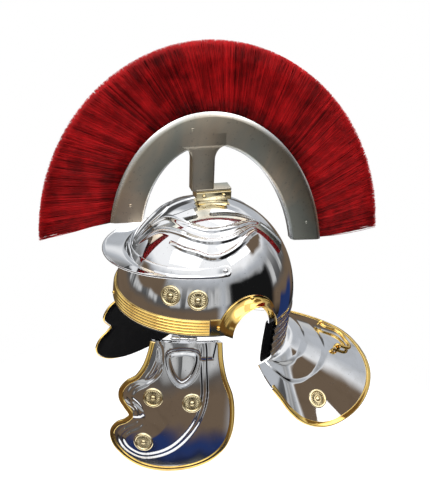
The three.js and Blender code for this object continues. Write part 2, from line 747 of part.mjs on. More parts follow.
add('plume', 'hair', plume());

// Cheek guards: each is modelled in the left guard's own frame, with u along the hinge towards the rear,
// n outwards and z up; the plate's top edge hangs just under the hinge pin
const turnOut = radians(CHEEK_TURN);
const hingeAlong = vector(Math.sin(turnOut), Math.cos(turnOut), 0);
const hingeOut = vector(Math.cos(turnOut), -Math.sin(turnOut), 0);
const hingeHeight = -HINGE_RADIUS - 1.6;
const rimX = SKULL_HALF_WIDTH * Math.sqrt(1 - (HINGE_PLACE / SKULL_HALF_LENGTH) ** 2);
const hingeCentre = vector(rimX - STEEL / 2, HINGE_PLACE, hingeHeight);
const cheekTop = hingeHeight - HINGE_RADIUS - 2.2;

const CHEEK_OUTLINE = [
  { along: -0.246, down: 0 },
  { along: -0.27, down: 0.09 },
  { along: -0.305, down: 0.18 },
  { along: -0.365, down: 0.265 },
  { along: -0.445, down: 0.32 },
  { along: -0.494, down: 0.39 },
  { along: -0.494, down: 0.455 },
  { along: -0.455, down: 0.51 },
  { along: -0.415, down: 0.565 },
  { along: -0.455, down: 0.61 },
  { along: -0.527, down: 0.654 },
  { along: -0.572, down: 0.73 },
  { along: -0.556, down: 0.818 },
  { along: -0.504, down: 0.88 },
  { along: -0.43, down: 0.933 },
  { along: -0.32, down: 0.973 },
  { along: -0.18, down: 0.988 },
  { along: -0.01, down: 0.974 },
  { along: 0.13, down: 0.94 },
  { along: 0.25, down: 0.882 },
  { along: 0.345, down: 0.79 },
  { along: 0.392, down: 0.67 },
  { along: 0.402, down: 0.54 },
  { along: 0.385, down: 0.4 },
  { along: 0.33, down: 0.26 },
  { along: 0.298, down: 0.13 },
  { along: 0.285, down: 0 },
];
const CHEEK_PANEL = [
  { along: -0.17, down: 0.04 },
  { along: 0.14, down: 0.05 },
  { along: 0.182, down: 0.2 },
  { along: 0.19, down: 0.4 },
  { along: 0.15, down: 0.55 },
  { along: 0.07, down: 0.68 },
  { along: -0.05, down: 0.8 },
  { along: -0.18, down: 0.87 },
  { along: -0.33, down: 0.9 },
  { along: -0.47, down: 0.84 },
  { along: -0.51, down: 0.75 },
  { along: -0.45, down: 0.67 },
  { along: -0.35, down: 0.6 },
  { along: -0.36, down: 0.5 },
  { along: -0.44, down: 0.43 },
  { along: -0.4, down: 0.34 },
  { along: -0.28, down: 0.26 },
  { along: -0.21, down: 0.14 },
];

const cheekCurve = (rows, closed) => new THREE.CatmullRomCurve3(rows.map((row) => vector(
  row.along * CHEEK_WIDTH,
  cheekTop - row.down * CHEEK_HEIGHT,
  0,
)), closed);

function cheekSwell(u, z) {
  return -CHEEK_CURL * (2 * u / CHEEK_WIDTH) ** 2 + CHEEK_FLARE * (cheekTop - z) / CHEEK_HEIGHT;
}

// An outline moved outwards by a distance, point by point
function outlineOffset(points, distance) {
  return points.map((point, k) => {
    const before = points[Math.max(0, k - 1)];
    const after = points[Math.min(points.length - 1, k + 1)];
    const along = after.clone().sub(before).normalize();
    return vector(point.x - along.y * -distance, point.y - along.x * distance, 0);
  });
}

const cheekEdge = cheekCurve(CHEEK_OUTLINE, false).getPoints(28);
const flatOutline = (points) => points.map((p) => [p.x, p.y]);

// A curved slab over the whole guard between two offsets from the plate's face
function cheekSlab(low, high) {
  const across = 9;
  const margin = 12;
  const grid = (offset) => Array.from({ length: across + 1 }, (_, i) => {
    const u = (i / across - 0.6) * CHEEK_WIDTH * 1.25 + 6;
    return [cheekTop + margin, cheekTop - CHEEK_HEIGHT - margin].map((z) => (
      vector(cheekSwell(u, z) + offset, u, z)));
  });
  return wall(grid(high), grid(low), () => true, false);
}

const FAR = 200;
const cheekPrism = (points) => prism(flatOutline(points), -FAR, FAR);

// Places a piece from the guard's own frame on the hinge
function onHinge(geometry) {
  const turned = geometry.index ? geometry.toNonIndexed() : geometry;
  const basis = new THREE.Matrix4().makeBasis(hingeOut, hingeAlong, vector(0, 0, 1));
  turned.applyMatrix4(basis);
  turned.translate(hingeCentre.x, hingeCentre.y, 0);
  return turned;
}

function barrel(from, to, radius, sides) {
  const tube = new THREE.CylinderGeometry(radius, radius, to - from, sides);
  tube.translate(0, (from + to) / 2, hingeHeight);
  return tube;
}

const knuckle = HINGE_LENGTH / 3;

function cheekPlate() {
  const edge = cheekPrism(cheekEdge);
  const plate = common(cheekSlab(-STEEL, 0), edge);
  const outline = cheekCurve(CHEEK_PANEL, true).getPoints(28);
  const panel = common(cheekSlab(-STEEL / 2, CHEEK_RELIEF), cheekPrism(outline));
  const tab = box([-STEEL / 2, 0, (hingeHeight + cheekTop - 1) / 2],
    [STEEL, knuckle - 2 * GAP, hingeHeight - cheekTop + 1]);
  const roll = barrel(-knuckle / 2 + GAP, knuckle / 2 - GAP, HINGE_RADIUS, 6);
  const bore = barrel(-HINGE_LENGTH, HINGE_LENGTH, HINGE_PIN_RADIUS + GAP, 6);
  return cut(join(plate, panel, tab, roll), bore);
}

function cheekTrim() {
  const outside = outlineOffset(cheekEdge, GAP + BRASS);
  const ring = common(cheekSlab(-STEEL, GAP + BRASS), cheekPrism(outside));
  const clear = common(cheekSlab(-STEEL - 2, GAP), cheekPrism(outlineOffset(cheekEdge, GAP)));
  const inside = outlineOffset(cheekEdge, -CHEEK_TRIM_WIDTH);
  const over = cheekTop + 1;
  const open = cheekPrism([inside[0].clone().setY(over), ...inside, inside.at(-1).clone().setY(over)]);
  const top = box([0, 0, cheekTop + 6], [FAR, FAR, 14]);
  return cut(ring, clear, open, top);
}

function cheekLining() {
  const edge = cheekPrism(outlineOffset(cheekEdge, 1));
  const top = box([0, 0, cheekTop + 6], [FAR, FAR, 14]);
  return cut(common(cheekSlab(-STEEL - GAP - LINING_THICKNESS, -STEEL - GAP), edge), top);
}

const CHEEK_ROSETTES = [
  { along: -0.23, down: 0.398 },
  { along: 0.075, down: 0.424 },
  { along: -0.305, down: 0.755 },
];

function cheekRosette({ along, down }) {
  const u = along * CHEEK_WIDTH;
  const z = cheekTop - down * CHEEK_HEIGHT;
  const normal = vector(1, 8 * CHEEK_CURL * u / CHEEK_WIDTH ** 2, CHEEK_FLARE / CHEEK_HEIGHT).normalize();
  const centre = vector(cheekSwell(u, z) + CHEEK_RELIEF + GAP, u, z);
  return cut(rosette(centre, normal, ROSETTE_HEIGHT / 2), cheekSlab(-STEEL, CHEEK_RELIEF + GAP));
}

// Hinge: two fixed knuckles on a leaf inside the bowl's rim, and the pin
function hingeLeaf() {
  const spread = Math.asin(HINGE_LENGTH / 2 / SKULL_HALF_LENGTH);
  const middle = azimuthBehind(HINGE_PLACE);
  const depth = STEEL + 4 * GAP;
  const grid = (offset) => Array.from({ length: 5 }, (_, k) => {
    const azimuth = middle + spread * (k / 2 - 1);
    return [HINGE_LEAF_HEIGHT, 0, hingeHeight].map((height) => skullPoint(azimuth, elevationAt(height), offset));
  });
  const leaf = wall(grid(-depth), grid(-depth - BRASS), () => true, false);
  const rolls = [-1, 1].map((side) => onHinge(barrel(side * knuckle - knuckle / 2 + GAP,
    side * knuckle + knuckle / 2 - GAP, HINGE_RADIUS, 6)));
  const links = [-1, 1].map((side) => onHinge(box([-HINGE_RADIUS, side * knuckle, hingeHeight],
    [2 * HINGE_RADIUS, knuckle - 2 * GAP, HINGE_RADIUS])));
  const room = onHinge(box([0, 0, hingeHeight], [4 * HINGE_RADIUS, knuckle, 2 * HINGE_RADIUS + 2]));
  const bore = onHinge(barrel(-HINGE_LENGTH, HINGE_LENGTH, HINGE_PIN_RADIUS, 6));
  return cut(join(leaf, ...links, ...rolls), room, bore);
}

const sides = [['left', (geometry) => geometry], ['right', mirrored]];
for (const [side, place] of sides) {
  add(`cheek_hinge_${side}`, 'steel', place(hingeLeaf()));
  add(`cheek_pin_${side}`, 'steel', place(onHinge(barrel(-HINGE_LENGTH / 2 - 1, HINGE_LENGTH / 2 + 1,
    HINGE_PIN_RADIUS - GAP, 6))));
  add(`cheek_guard_${side}`, 'steel', place(onHinge(cheekPlate())));
  add(`cheek_trim_${side}`, 'brass', place(onHinge(cheekTrim())));
  add(`cheek_lining_${side}`, 'lining', place(onHinge(cheekLining())));
  CHEEK_ROSETTES.forEach((row, k) => {
    add(`cheek_rosette_${side}_${k + 1}`, 'brass', place(onHinge(cheekRosette(row))));
  });
}

// Carrying handle: a brass bail that lies on the neck guard, held by two staples
const guardSlope = (() => {
  const low = guardPoint(Math.PI, 1, 0);
  const high = guardPoint(Math.PI, 0, 0);
  return Math.atan2(high.z - low.z, low.y - high.y);
})();
const guardAt = (y) => {
  const high = guardPoint(Math.PI, 0, 0);
  return high.z - (y - high.y) * Math.tan(guardSlope);
};
const pivotHeight = guardAt(HANDLE_PLACE) + (HANDLE_RADIUS + HANDLE_PLAY) / Math.cos(guardSlope);

function handle() {
  const half = HANDLE_SPAN / 2;
  const points = [[-half - 4, 0], [-half + 3, 0], [-half + 6, 4], [-half + 7, HANDLE_REACH - 7],
    [-half + 14, HANDLE_REACH], [0, HANDLE_REACH + 1], [half - 14, HANDLE_REACH],
    [half - 7, HANDLE_REACH - 7],
    [half - 6, 4], [half - 3, 0], [half + 4, 0]];
  const curve = new THREE.CatmullRomCurve3(points.map(([x, y]) => vector(x, y, 0)));
  const section = new THREE.Shape();
  for (let k = 0; k < 6; k += 1) {
    const turn = 2 * Math.PI * k / 6;
    const corner = [HANDLE_RADIUS * Math.cos(turn), HANDLE_RADIUS * Math.sin(turn)];
    if (k === 0) {
      section.moveTo(...corner);
    } else {
      section.lineTo(...corner);
    }
  }
  const bar = new THREE.ExtrudeGeometry(section, { steps: 20, extrudePath: curve });
  bar.rotateX(-guardSlope);
  bar.translate(0, HANDLE_PLACE, pivotHeight);
  return bar;
}

add('carrying_handle', 'brass', handle());

function staple(side) {
  const inner = HANDLE_RADIUS + HANDLE_PLAY;
  const wire = 2;
  const legs = inner + wire;
  const foot = -(HANDLE_RADIUS + 3.5);
  const outline = [[-legs, foot], [-inner, foot], [-inner, 0]];
  for (let k = 1; k < 6; k += 1) {
    outline.push([-inner * Math.cos(Math.PI * k / 6), inner * Math.sin(Math.PI * k / 6)]);
  }
  outline.push([inner, 0], [inner, foot], [legs, foot], [legs, 0]);
  for (let k = 1; k < 6; k += 1) {
    outline.push([legs * Math.cos(Math.PI * k / 6), legs * Math.sin(Math.PI * k / 6)]);
  }
  outline.push([-legs, 0]);
  const loop = prism(outline, -wire, wire);
  loop.rotateX(-guardSlope);
  loop.translate(side * (HANDLE_SPAN / 2), HANDLE_PLACE, pivotHeight);
  return cut(loop, guardRoom);
}

add('handle_staple_left', 'brass', staple(1));
add('handle_staple_right', 'brass', staple(-1));

export default helmet;
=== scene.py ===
"""A Roman officer's crested helmet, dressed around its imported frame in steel, brass, horsehair and lining.

Lengths are metres, angles round the skull are radians and those along the crest are degrees. Surfaces are
worked out above the rim's plane and then set down on the frame, whose origin is the inside of the crown.
The face looks to -Y and the wearer's left is +X.
"""

import bmesh
import bpy
import numpy as np
from bpy.props import FloatProperty, FloatVectorProperty, IntProperty, PointerProperty
from mathutils import Matrix, Vector


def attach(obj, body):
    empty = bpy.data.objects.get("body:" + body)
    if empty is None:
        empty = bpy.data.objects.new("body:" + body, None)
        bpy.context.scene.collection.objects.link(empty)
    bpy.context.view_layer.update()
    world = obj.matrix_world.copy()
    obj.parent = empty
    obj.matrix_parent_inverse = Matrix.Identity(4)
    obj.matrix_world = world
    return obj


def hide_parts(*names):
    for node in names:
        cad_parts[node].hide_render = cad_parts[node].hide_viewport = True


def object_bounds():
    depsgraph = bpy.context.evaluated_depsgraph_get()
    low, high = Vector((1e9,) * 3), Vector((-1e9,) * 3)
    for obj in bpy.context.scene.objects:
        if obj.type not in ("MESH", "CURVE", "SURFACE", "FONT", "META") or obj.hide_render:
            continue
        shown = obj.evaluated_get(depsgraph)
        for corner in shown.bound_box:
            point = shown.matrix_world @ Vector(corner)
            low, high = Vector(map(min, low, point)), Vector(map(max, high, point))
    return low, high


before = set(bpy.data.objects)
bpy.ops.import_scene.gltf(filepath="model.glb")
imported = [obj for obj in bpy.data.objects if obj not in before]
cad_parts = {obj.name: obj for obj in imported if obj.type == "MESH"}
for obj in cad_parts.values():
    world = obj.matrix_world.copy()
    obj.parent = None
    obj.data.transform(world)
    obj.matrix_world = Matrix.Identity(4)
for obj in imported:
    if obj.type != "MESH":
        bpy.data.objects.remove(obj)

bl_info = {
    "name": "Crested Helmet",
    "version": (1, 0, 0),
    "blender": (4, 5, 0),
    "location": "View3D > Sidebar > Helmet",
    "description": "Dresses a crested helmet in polished steel, brass, horsehair and lining",
    "category": "Add Mesh",
}

CAD_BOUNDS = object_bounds()
FINISH = "finish_"
MM = 0.001
PI = np.pi

# Skull
HALF_WIDTH = 101.5 * MM
HALF_LENGTH = 115 * MM
HEIGHT = 127.5 * MM
STEEL = 1.6 * MM
BRASS = 1.3 * MM
GAP = 0.3 * MM
RIM = HEIGHT - STEEL

# Ear openings
EAR_CENTRE = 31 * MM
EAR_REACH = 26 * MM
EAR_HEIGHT = 32 * MM

# Nape, lining and neck guard
NAPE_START = 70 * MM
NAPE_DEPTH = 64 * MM
NAPE_TUCK = 0.045
NAPE_RIBS = 5
LINING = 3 * MM
LINING_EDGE = 13 * MM
GUARD_HALF_WIDTH = 135.7 * MM
GUARD_REACH = 126 * MM
GUARD_DROP = 66 * MM
TRIM_WIDTH = 5 * MM

# Radius of the rolled edges, and where the neck guard steps down, as shares of the way out
ROLL = 0.9 * MM
GUARD_STEPS = (0.205, 0.445)
STEP_RUN = 0.03

# Forehead
VISOR_HEIGHT = 70 * MM
VISOR_STRAP = 11 * MM
VISOR_PROJECTION = 26 * MM
VISOR_LIFT = 6 * MM
VISOR_REACH = 0.528
VISOR_RADIUS = 95 * MM
VISOR_END = 0.955
VISOR_ROOT = 2.6 * MM
BAND_END = 0.22
BAND_HEIGHT = 19 * MM
BAND_RIBS = 5
BAND_RISE = 3 * MM

# Ear guards
EAR_FLARE = 11 * MM
EAR_WIDTH = 17 * MM
EAR_TAPER = 0.5
EAR_PLATE = 0.21
EAR_PLATE_RIVET = 0.13
EAR_PLATE_CLEAR = 3 * MM

# Cheek guards
CHEEK_HEIGHT = 168 * MM
CHEEK_WIDTH = 152 * MM
CHEEK_CURL = 10 * MM
CHEEK_FLARE = 38 * MM
CHEEK_BOW = 5 * MM
CHEEK_TRIM = 4.5 * MM
CHEEK_TURN = np.radians(15)
HINGE_RADIUS = 2.6 * MM
PIN_RADIUS = 0.9 * MM
HINGE_LENGTH = 30 * MM
HINGE_PLACE = -48 * MM
HINGE_LEAF = 14 * MM
HINGE_HEIGHT = -HINGE_RADIUS - 1.6 * MM
CHEEK_TOP = HINGE_HEIGHT - HINGE_RADIUS - 2.2 * MM

# Crest
CREST_HALF = 8.5 * MM
CREST_LENGTH = 134 * MM
CREST_RISE = 187 * MM
CREST_BAND = 40 * MM
CREST_TILT = np.radians(12.4)
CREST_CENTRE = (16.5 * MM, 53.6 * MM)
CREST_FRONT = 27
CREST_REAR = 186
CREST_FRONT_LEAN = 3.7
CREST_REAR_LEAN = 3
CREST_BEVEL = 4 * MM
BEVEL_RUN = 1.45 * CREST_BEVEL
LIP = 0.2 * MM

# How far the arch's ends are drawn in: from its outer and inner edges, and as a share of its thickness
END_OUTER = 2.5 * MM
END_INNER = 3.5 * MM
END_SIDE = 0.38

# Slot for the hair, and the post with the angles beside it where the arch's bevel grows
SLOT_DEPTH = 12 * MM
SLOT_HALF = 5.5 * MM
POST_PLACE = -8 * MM
POST_HALF = 13.5 * MM
POST_FILLET = 14 * MM
POST_EASE = 2 * MM
POST_ANGLE = 92
POST_CLEAR = (6, 13)
FILLET_DROP = 16 * MM
FILLET_REACH = 17 * MM

# Brass mount and the post's foot
FIXTURE_LENGTH = 43 * MM
FIXTURE_HALF = 11 * MM
FIXTURE_PLACE = 5 * MM
FIXTURE_TOP = HEIGHT + 14.5 * MM
FIXTURE_EASE = 1.2 * MM
FOOT_HALF_WIDTH = 9 * MM
FOOT_HALF = 1.5 * MM
FOOT_TOP = FIXTURE_TOP + 2 * FOOT_HALF + GAP

# Horsehair: its lengths, half-thicknesses, and how its roots and tips spread past the box's ends
HAIR_LENGTH = 79 * MM
HAIR_OVER = 69 * MM
HAIR_LIFT = 6.6 * MM
HAIR_HALF = 6.5 * MM
HAIR_ROOT_HALF = 5.1 * MM
HAIR_ROOT_INSET = 0.8
HAIR_FRONT_FAN = 8.3
HAIR_REAR_FAN = 1.3
HAIR_SEED = 7

# Layers of strands: their reach across the crest as shares of its half-thickness
HAIR_LAYERS = {"hair_left": (0.70, 1.0), "hair_right": (-1.0, -0.70), "hair_middle": (-0.72, 0.72)}

# Rosettes, rivets and handle
ROSETTE_RADIUS = 12 * MM
ROSETTE_HEIGHT = 3.2 * MM
BOWL_BEND = 4.4
NECK_BEND = 0.4
CHEEK_BEND = 1.0
RIVET = 3 * MM
HANDLE_HALF = 29 * MM
HANDLE_REACH = 30 * MM
HANDLE_RADIUS = 2.6 * MM
HANDLE_PLAY = 0.8 * MM
HANDLE_PLACE = 185 * MM
KNOB = 4 * MM
WIRE = 1 * MM
WIRE_FLAT = 1.9

# Floor's depth, the camera's shift to the right and upwards, and the height of its sensor in millimetres
FLOOR_DEPTH = 10 * MM
CAMERA_SHIFT = (12.93 * MM, 58.05 * MM)
SENSOR = 36

# Numbers of columns and rows along the bowl, and the share of the skull that has the finer rows
FACE_COLUMNS, EAR_COLUMNS, SIDE_COLUMNS, REAR_COLUMNS = 118, 26, 5, 52
CROWN_ROWS, RIM_ROWS, NAPE_ROWS, GUARD_ROWS = 66, 24, 56, 46
CROWN_SHARE = 0.58

# Neck guard's edge from its front corner to the middle of the rear: shares of half-width, reach and drop
GUARD_OUTLINE = np.array([
    (0.718, -0.517, -0.168), (0.830, -0.457, 0.051), (0.905, -0.342, 0.364), (0.955, -0.228, 0.678),
    (0.987, -0.101, 0.896), (1.000, 0.051, 1.024), (0.989, 0.192, 1.072), (0.946, 0.356, 1.061),
    (0.862, 0.518, 1.059), (0.736, 0.680, 1.056), (0.566, 0.831, 1.034), (0.381, 0.935, 1.002),
    (0.188, 0.987, 0.979), (0.000, 1.000, 0.967),
])

# Eyebrow ridges and the crown panel's upper edge, as shares of the skull's half-width and half-length
BROW_RIDGES = [
    [(0.02, -0.76), (0.03, -0.6), (0.08, -0.46), (0.26, -0.34), (0.4, -0.22), (0.48, -0.08),
     (0.46, 0.13), (0.27, 0.49)],
    [(0.1, -0.76), (0.14, -0.68), (0.2, -0.56), (0.3, -0.46), (0.42, -0.35), (0.52, -0.24),
     (0.585, -0.09), (0.57, 0.12), (0.37, 0.42)],
    [(0.44, -0.47), (0.56, -0.36), (0.64, -0.24), (0.7, -0.13), (0.71, -0.02), (0.65, 0.15),
     (0.42, 0.42)],
]
CROWN_EDGE = [(0.266, 0.487), (0.217, 0.243), (0.128, -0.113), (0.128, -0.339), (0.09, -0.44)]

# Cheek guard, as shares of its width along the hinge and of its height down from the hinge
CHEEK_OUTLINE = [
    (-0.246, 0), (-0.27, 0.09), (-0.305, 0.18), (-0.365, 0.265), (-0.445, 0.32), (-0.494, 0.39),
    (-0.494, 0.455), (-0.455, 0.51), (-0.415, 0.565), (-0.455, 0.61), (-0.527, 0.654), (-0.572, 0.73),
    (-0.556, 0.818), (-0.504, 0.88), (-0.43, 0.933), (-0.32, 0.973), (-0.18, 0.988), (-0.01, 0.974),
    (0.13, 0.94), (0.25, 0.882), (0.345, 0.79), (0.392, 0.67), (0.402, 0.54), (0.385, 0.4),
    (0.33, 0.26), (0.298, 0.13), (0.285, 0),
]
CHEEK_PANEL = [
    (-0.17, -0.05), (0.14, -0.05), (0.182, 0.2), (0.19, 0.4), (0.15, 0.55), (0.07, 0.68), (-0.05, 0.8),
    (-0.18, 0.87), (-0.33, 0.9), (-0.47, 0.84), (-0.51, 0.75), (-0.45, 0.67), (-0.35, 0.6), (-0.36, 0.5),
    (-0.44, 0.43), (-0.4, 0.34), (-0.28, 0.26), (-0.21, 0.14),
]
CHEEK_LOOP = [(-0.113, 0.084), (0.11, 0.078), (0.083, 0.217), (-0.008, 0.286), (-0.087, 0.222)]
CHEEK_LOBE = [
    (-0.30, -0.04), (-0.19, 0.03), (-0.175, 0.18), (-0.26, 0.275), (-0.40, 0.285), (-0.5, 0.26),
]
CHEEK_CRESCENT = [
    (-0.47, 0.47), (-0.37, 0.47), (-0.3, 0.53), (-0.36, 0.575), (-0.42, 0.565), (-0.38, 0.525),
]
CHEEK_STEP = [(0.123, -0.05), (0.262, -0.05), (0.227, 0.11), (0.127, 0.107)]
CHEEK_ROSETTES = [(-0.23, 0.398), (0.075, 0.424), (-0.305, 0.755)]
BOWL_ROSETTES = [(-61 * MM, 48 * MM), (-32 * MM, 46 * MM)]
NECK_ROSETTE = (0.47, 0.7)
CREST_RIVETS = [(37, 20 * MM), (89, 17 * MM), (176, 17 * MM)]

# Rings of a rosette as shares of its radius, and rings of the crown mount as shares of its height and width
ROSETTE_RINGS = np.array([
    0, 0.08, 0.16, 0.23, 0.27, 0.31, 0.36, 0.44, 0.54, 0.64, 0.7, 0.74, 0.78, 0.83, 0.89, 0.95, 0.985, 1.0,
])
FIXTURE_RINGS = [
    (0.0, 0.80), (0.05, 0.74), (0.34, 0.72), (0.38, 0.76), (0.40, 0.93), (0.43, 0.95), (0.88, 0.955),
]


class HelmetRelief(bpy.types.PropertyGroup):
    """Heights of the forms that are beaten into the metal"""
    ridge: FloatProperty(name="Brow ridge", description="Height of the eyebrow ridges", default=2.4 * MM,
                         unit="LENGTH")
    ridge_half: FloatProperty(name="Ridge half-width", description="Reach of a ridge to each side",
                              default=4.2 * MM, unit="LENGTH")
    crown: FloatProperty(name="Crown panel", description="Height of the panels beside the crest",
                         default=1.3 * MM, unit="LENGTH")
    nape_rib: FloatProperty(name="Nape rib", description="Height of the ribs on the nape", default=1.8 * MM,
                            unit="LENGTH")
    guard_step: FloatProperty(name="Neck step", description="Height of each step on the neck guard",
                              default=1.4 * MM, unit="LENGTH")
    band_rib: FloatProperty(name="Band rib", description="Height of the ribs on the brow band",
                            default=1.3 * MM, unit="LENGTH")
    cheek_step: FloatProperty(name="Cheek step", description="Height of each step on the cheek guards",
                              default=1.1 * MM, unit="LENGTH")
    groove: FloatProperty(name="Cheek groove", description="Depth of the chased lines on the cheek guards",
                          default=1.5 * MM, unit="LENGTH")
    spokes: IntProperty(name="Rosette spokes", description="Rays on each rosette", default=20, min=6)


class HelmetHair(bpy.types.PropertyGroup):
    """The horsehair of the crest"""
    strands: IntProperty(name="Strands", description="Strands in each layer", default=5000, min=100)
    locks: IntProperty(name="Locks", description="Locks that the strands gather into", default=150, min=10)
    radius: FloatProperty(name="Strand radius", description="Radius of a strand at its root",
                          default=0.34 * MM, unit="LENGTH")
    gather: FloatProperty(name="Gather", description="How far a strand leans to its lock", default=0.3,
                          subtype="FACTOR")
    trim: FloatProperty(name="Trim", description="Unevenness of the cut edge", default=2.2 * MM,
                        unit="LENGTH")
    # The two reds paint shade on some strands and light on others
    shaded_red: FloatVectorProperty(name="Deep red", description="Colour between the locks",
                              default=(0.07, 0.001, 0.0016), subtype="COLOR")
    bright: FloatVectorProperty(name="Bright red", description="Colour of the lit strands",
                                default=(0.76, 0.013, 0.017), subtype="COLOR")


class HelmetFinish(bpy.types.PropertyGroup):
    """Colours and polish of the metals and the lining"""
    steel: FloatVectorProperty(name="Steel", description="Colour of the polished steel",
                               default=(0.78, 0.79, 0.81), subtype="COLOR")
    satin: FloatVectorProperty(name="Satin steel", description="Colour of the crest box",
                               default=(0.68, 0.60, 0.49), subtype="COLOR")
    brass: FloatVectorProperty(name="Brass", description="Colour of the trims", default=(0.95, 0.66, 0.20),
                               subtype="COLOR")
    lining: FloatVectorProperty(name="Lining", description="Colour of the lining",
                                default=(0.0015, 0.0015, 0.0022), subtype="COLOR")
    polish: FloatProperty(name="Polish", description="Roughness of the polished steel", default=0.03,
                          subtype="FACTOR")
    brushed: FloatProperty(name="Brushing", description="Roughness of the satin steel", default=0.30,
                           subtype="FACTOR")


class HelmetStage(bpy.types.PropertyGroup):
    """Floor, light and camera"""
    floor_drop: FloatProperty(name="Floor drop", description="How far the floor lies below the helmet",
                              default=0.30, unit="LENGTH")
    floor_reach: FloatProperty(name="Floor reach", description="Radius of the floor", default=0.62,
                               unit="LENGTH")
    light: FloatProperty(name="Sky", description="Strength of the white surroundings", default=1.0,
                         subtype="FACTOR")
    distance: FloatProperty(name="Camera distance", description="Distance from the crown", default=0.85,
                            unit="LENGTH")
    turn: FloatProperty(name="Camera turn", description="Angle of the view forward of the side",
                        default=np.radians(15.82), subtype="ANGLE")
    rise: FloatProperty(name="Camera rise", description="Angle of the view above the horizon",
                        default=np.radians(27.97), subtype="ANGLE")
    roll: FloatProperty(name="Camera roll", description="Roll of the view", default=np.radians(2.07),
                        subtype="ANGLE")
    lens: FloatProperty(name="Lens", description="Focal length in millimetres", default=48.2,
                        unit="CAMERA")


SETTINGS = {"helmet_relief": HelmetRelief, "helmet_hair": HelmetHair, "helmet_finish": HelmetFinish,
            "helmet_stage": HelmetStage}


# Curves, distances and meshes

def smooth(low, high, x):
    """Zero below low, one above high, and a smooth cubic between them."""
    t = np.clip((x - low) / (high - low), 0, 1)
    return t * t * (3 - 2 * t)


def unit(v):
    """Vectors divided by their own lengths."""
    return v / np.linalg.norm(v, axis=-1, keepdims=True)


def spline(points, shares, closed=False):
    """A centripetal Catmull-Rom curve: each span is a cubic whose end slopes follow its neighbours."""
    points = np.asarray(points, float)
    spans = len(points) if closed else len(points) - 1
    place = np.asarray(shares, float) * spans
    k = np.minimum(place.astype(int), spans - 1)
    w = (place - k)[..., None]
    if closed:
        p0, p1, p2, p3 = (points[(k + n) % len(points)] for n in (-1, 0, 1, 2))
    else:
        framed = np.vstack([2 * points[0] - points[1], points, 2 * points[-1] - points[-2]])
        p0, p1, p2, p3 = (framed[k + n] for n in range(4))
    ways = (p1 - p0, p2 - p1, p3 - p2)
    d0, d1, d2 = (np.linalg.norm(way, axis=-1, keepdims=True) ** 0.5 for way in ways)
    leave = ((p1 - p0) / d0 - (p2 - p0) / (d0 + d1) + (p2 - p1) / d1) * d1
    arrive = ((p2 - p1) / d1 - (p3 - p1) / (d1 + d2) + (p3 - p2) / d2) * d1
    return (p1 + leave * w + (3 * p2 - 3 * p1 - 2 * leave - arrive) * w ** 2
            + (2 * p1 - 2 * p2 + leave + arrive) * w ** 3)


def line_distance(points, path):
    """Least distance from each point to the segments of a path."""
    a = path[:-1]
    way = path[1:] - a
    best = np.full(points.shape[:-1], np.inf)
    for start, step in zip(a, way):
        share = np.clip(((points - start) @ step) / max(step @ step, 1e-12), 0, 1)
        best = np.minimum(best, np.linalg.norm(points - start - share[..., None] * step, axis=-1))
    return best


def inside_distance(points, outline):
    """Distance to a closed flat outline, positive inside it and negative outside."""
    loop = np.vstack([outline, outline[:1]])
    x, y = points[..., 0], points[..., 1]
    crossings = np.zeros(x.shape, int)
    for (x1, y1), (x2, y2) in zip(loop[:-1], loop[1:]):
        if y1 != y2:
            crossings += ((y1 > y) != (y2 > y)) & (x < (x2 - x1) * (y - y1) / (y2 - y1) + x1)
    return np.where(crossings % 2 == 1, 1, -1) * line_distance(points, loop)


def shell(outer, inner, present=None, wrapped=False):
    """A closed wall between two grids: the cells of both, and a side wherever a cell has no neighbour."""
    columns, rows = outer.shape[:2]
    if present is None:
        present = np.ones((columns if wrapped else columns - 1, rows - 1), bool)
    i, j = np.nonzero(present)
    n = (i + 1) % columns
    corners = np.stack([i * rows + j, i * rows + j + 1, n * rows + j + 1, n * rows + j], -1)
    behind = columns * rows
    framed = np.pad(present, 1)
    if wrapped:
        framed[0, 1:-1], framed[-1, 1:-1] = present[-1], present[0]
    faces = [corners, corners[:, ::-1] + behind]
    for k, (di, dj) in enumerate(((-1, 0), (0, 1), (1, 0), (0, -1))):
        bare = ~framed[i + 1 + di, j + 1 + dj]
        a, b = corners[bare, k], corners[bare, (k + 1) % 4]
        faces.append(np.stack([b, a, a + behind, b + behind], -1))
    return np.concatenate([outer.reshape(-1, 3), inner.reshape(-1, 3)]), [np.concatenate(faces)]


def swept(rings):
    """A closed skin through rings of points, with a flat face on each end."""
    count, corners = rings.shape[:2]
    ring = np.arange(corners)
    start = corners * np.arange(count - 1)[:, None]
    ahead = (ring + 1) % corners
    cells = [start + ring, start + ahead, start + corners + ahead, start + corners + ring]
    ends = [ring[None, ::-1], ring[None] + (count - 1) * corners]
    return rings.reshape(-1, 3), [np.stack(cells, -1).reshape(-1, 4), *ends]


def lathe(profile, centre, normal, sides=32):
    """A profile of radius and height pairs turned about a normal; it starts and ends on the axis."""
    profile = np.asarray(profile, float)
    spoke = spokes(normal, full_turn(sides))
    return swept(centre + profile[:, 0, None, None] * spoke + profile[:, 1, None, None] * normal)


def full_turn(sides):
    """Even angles once round."""
    return 2 * PI * np.arange(sides) / sides


def spokes(normal, turn):
    """Unit directions square to a normal, at angles about it."""
    side = unit(np.cross([0.0, 0.0, 1.0] if abs(normal[2]) < 0.9 else [0.0, 1.0, 0.0], normal))
    return np.cos(turn)[..., None] * side + np.sin(turn)[..., None] * np.cross(normal, side)


def dome(centre, normal, radius, height):
    """A round-headed rivet: a low cylinder under a quarter ellipse."""
    sunk, rim = 0.3 * height, 0.25 * height
    profile = [(0, -sunk), (radius, -sunk)]
    profile += [(radius * np.cos(t), rim + (height - rim) * np.sin(t)) for t in np.linspace(0, PI / 2, 8)]
    return lathe(profile, centre, normal, 24)


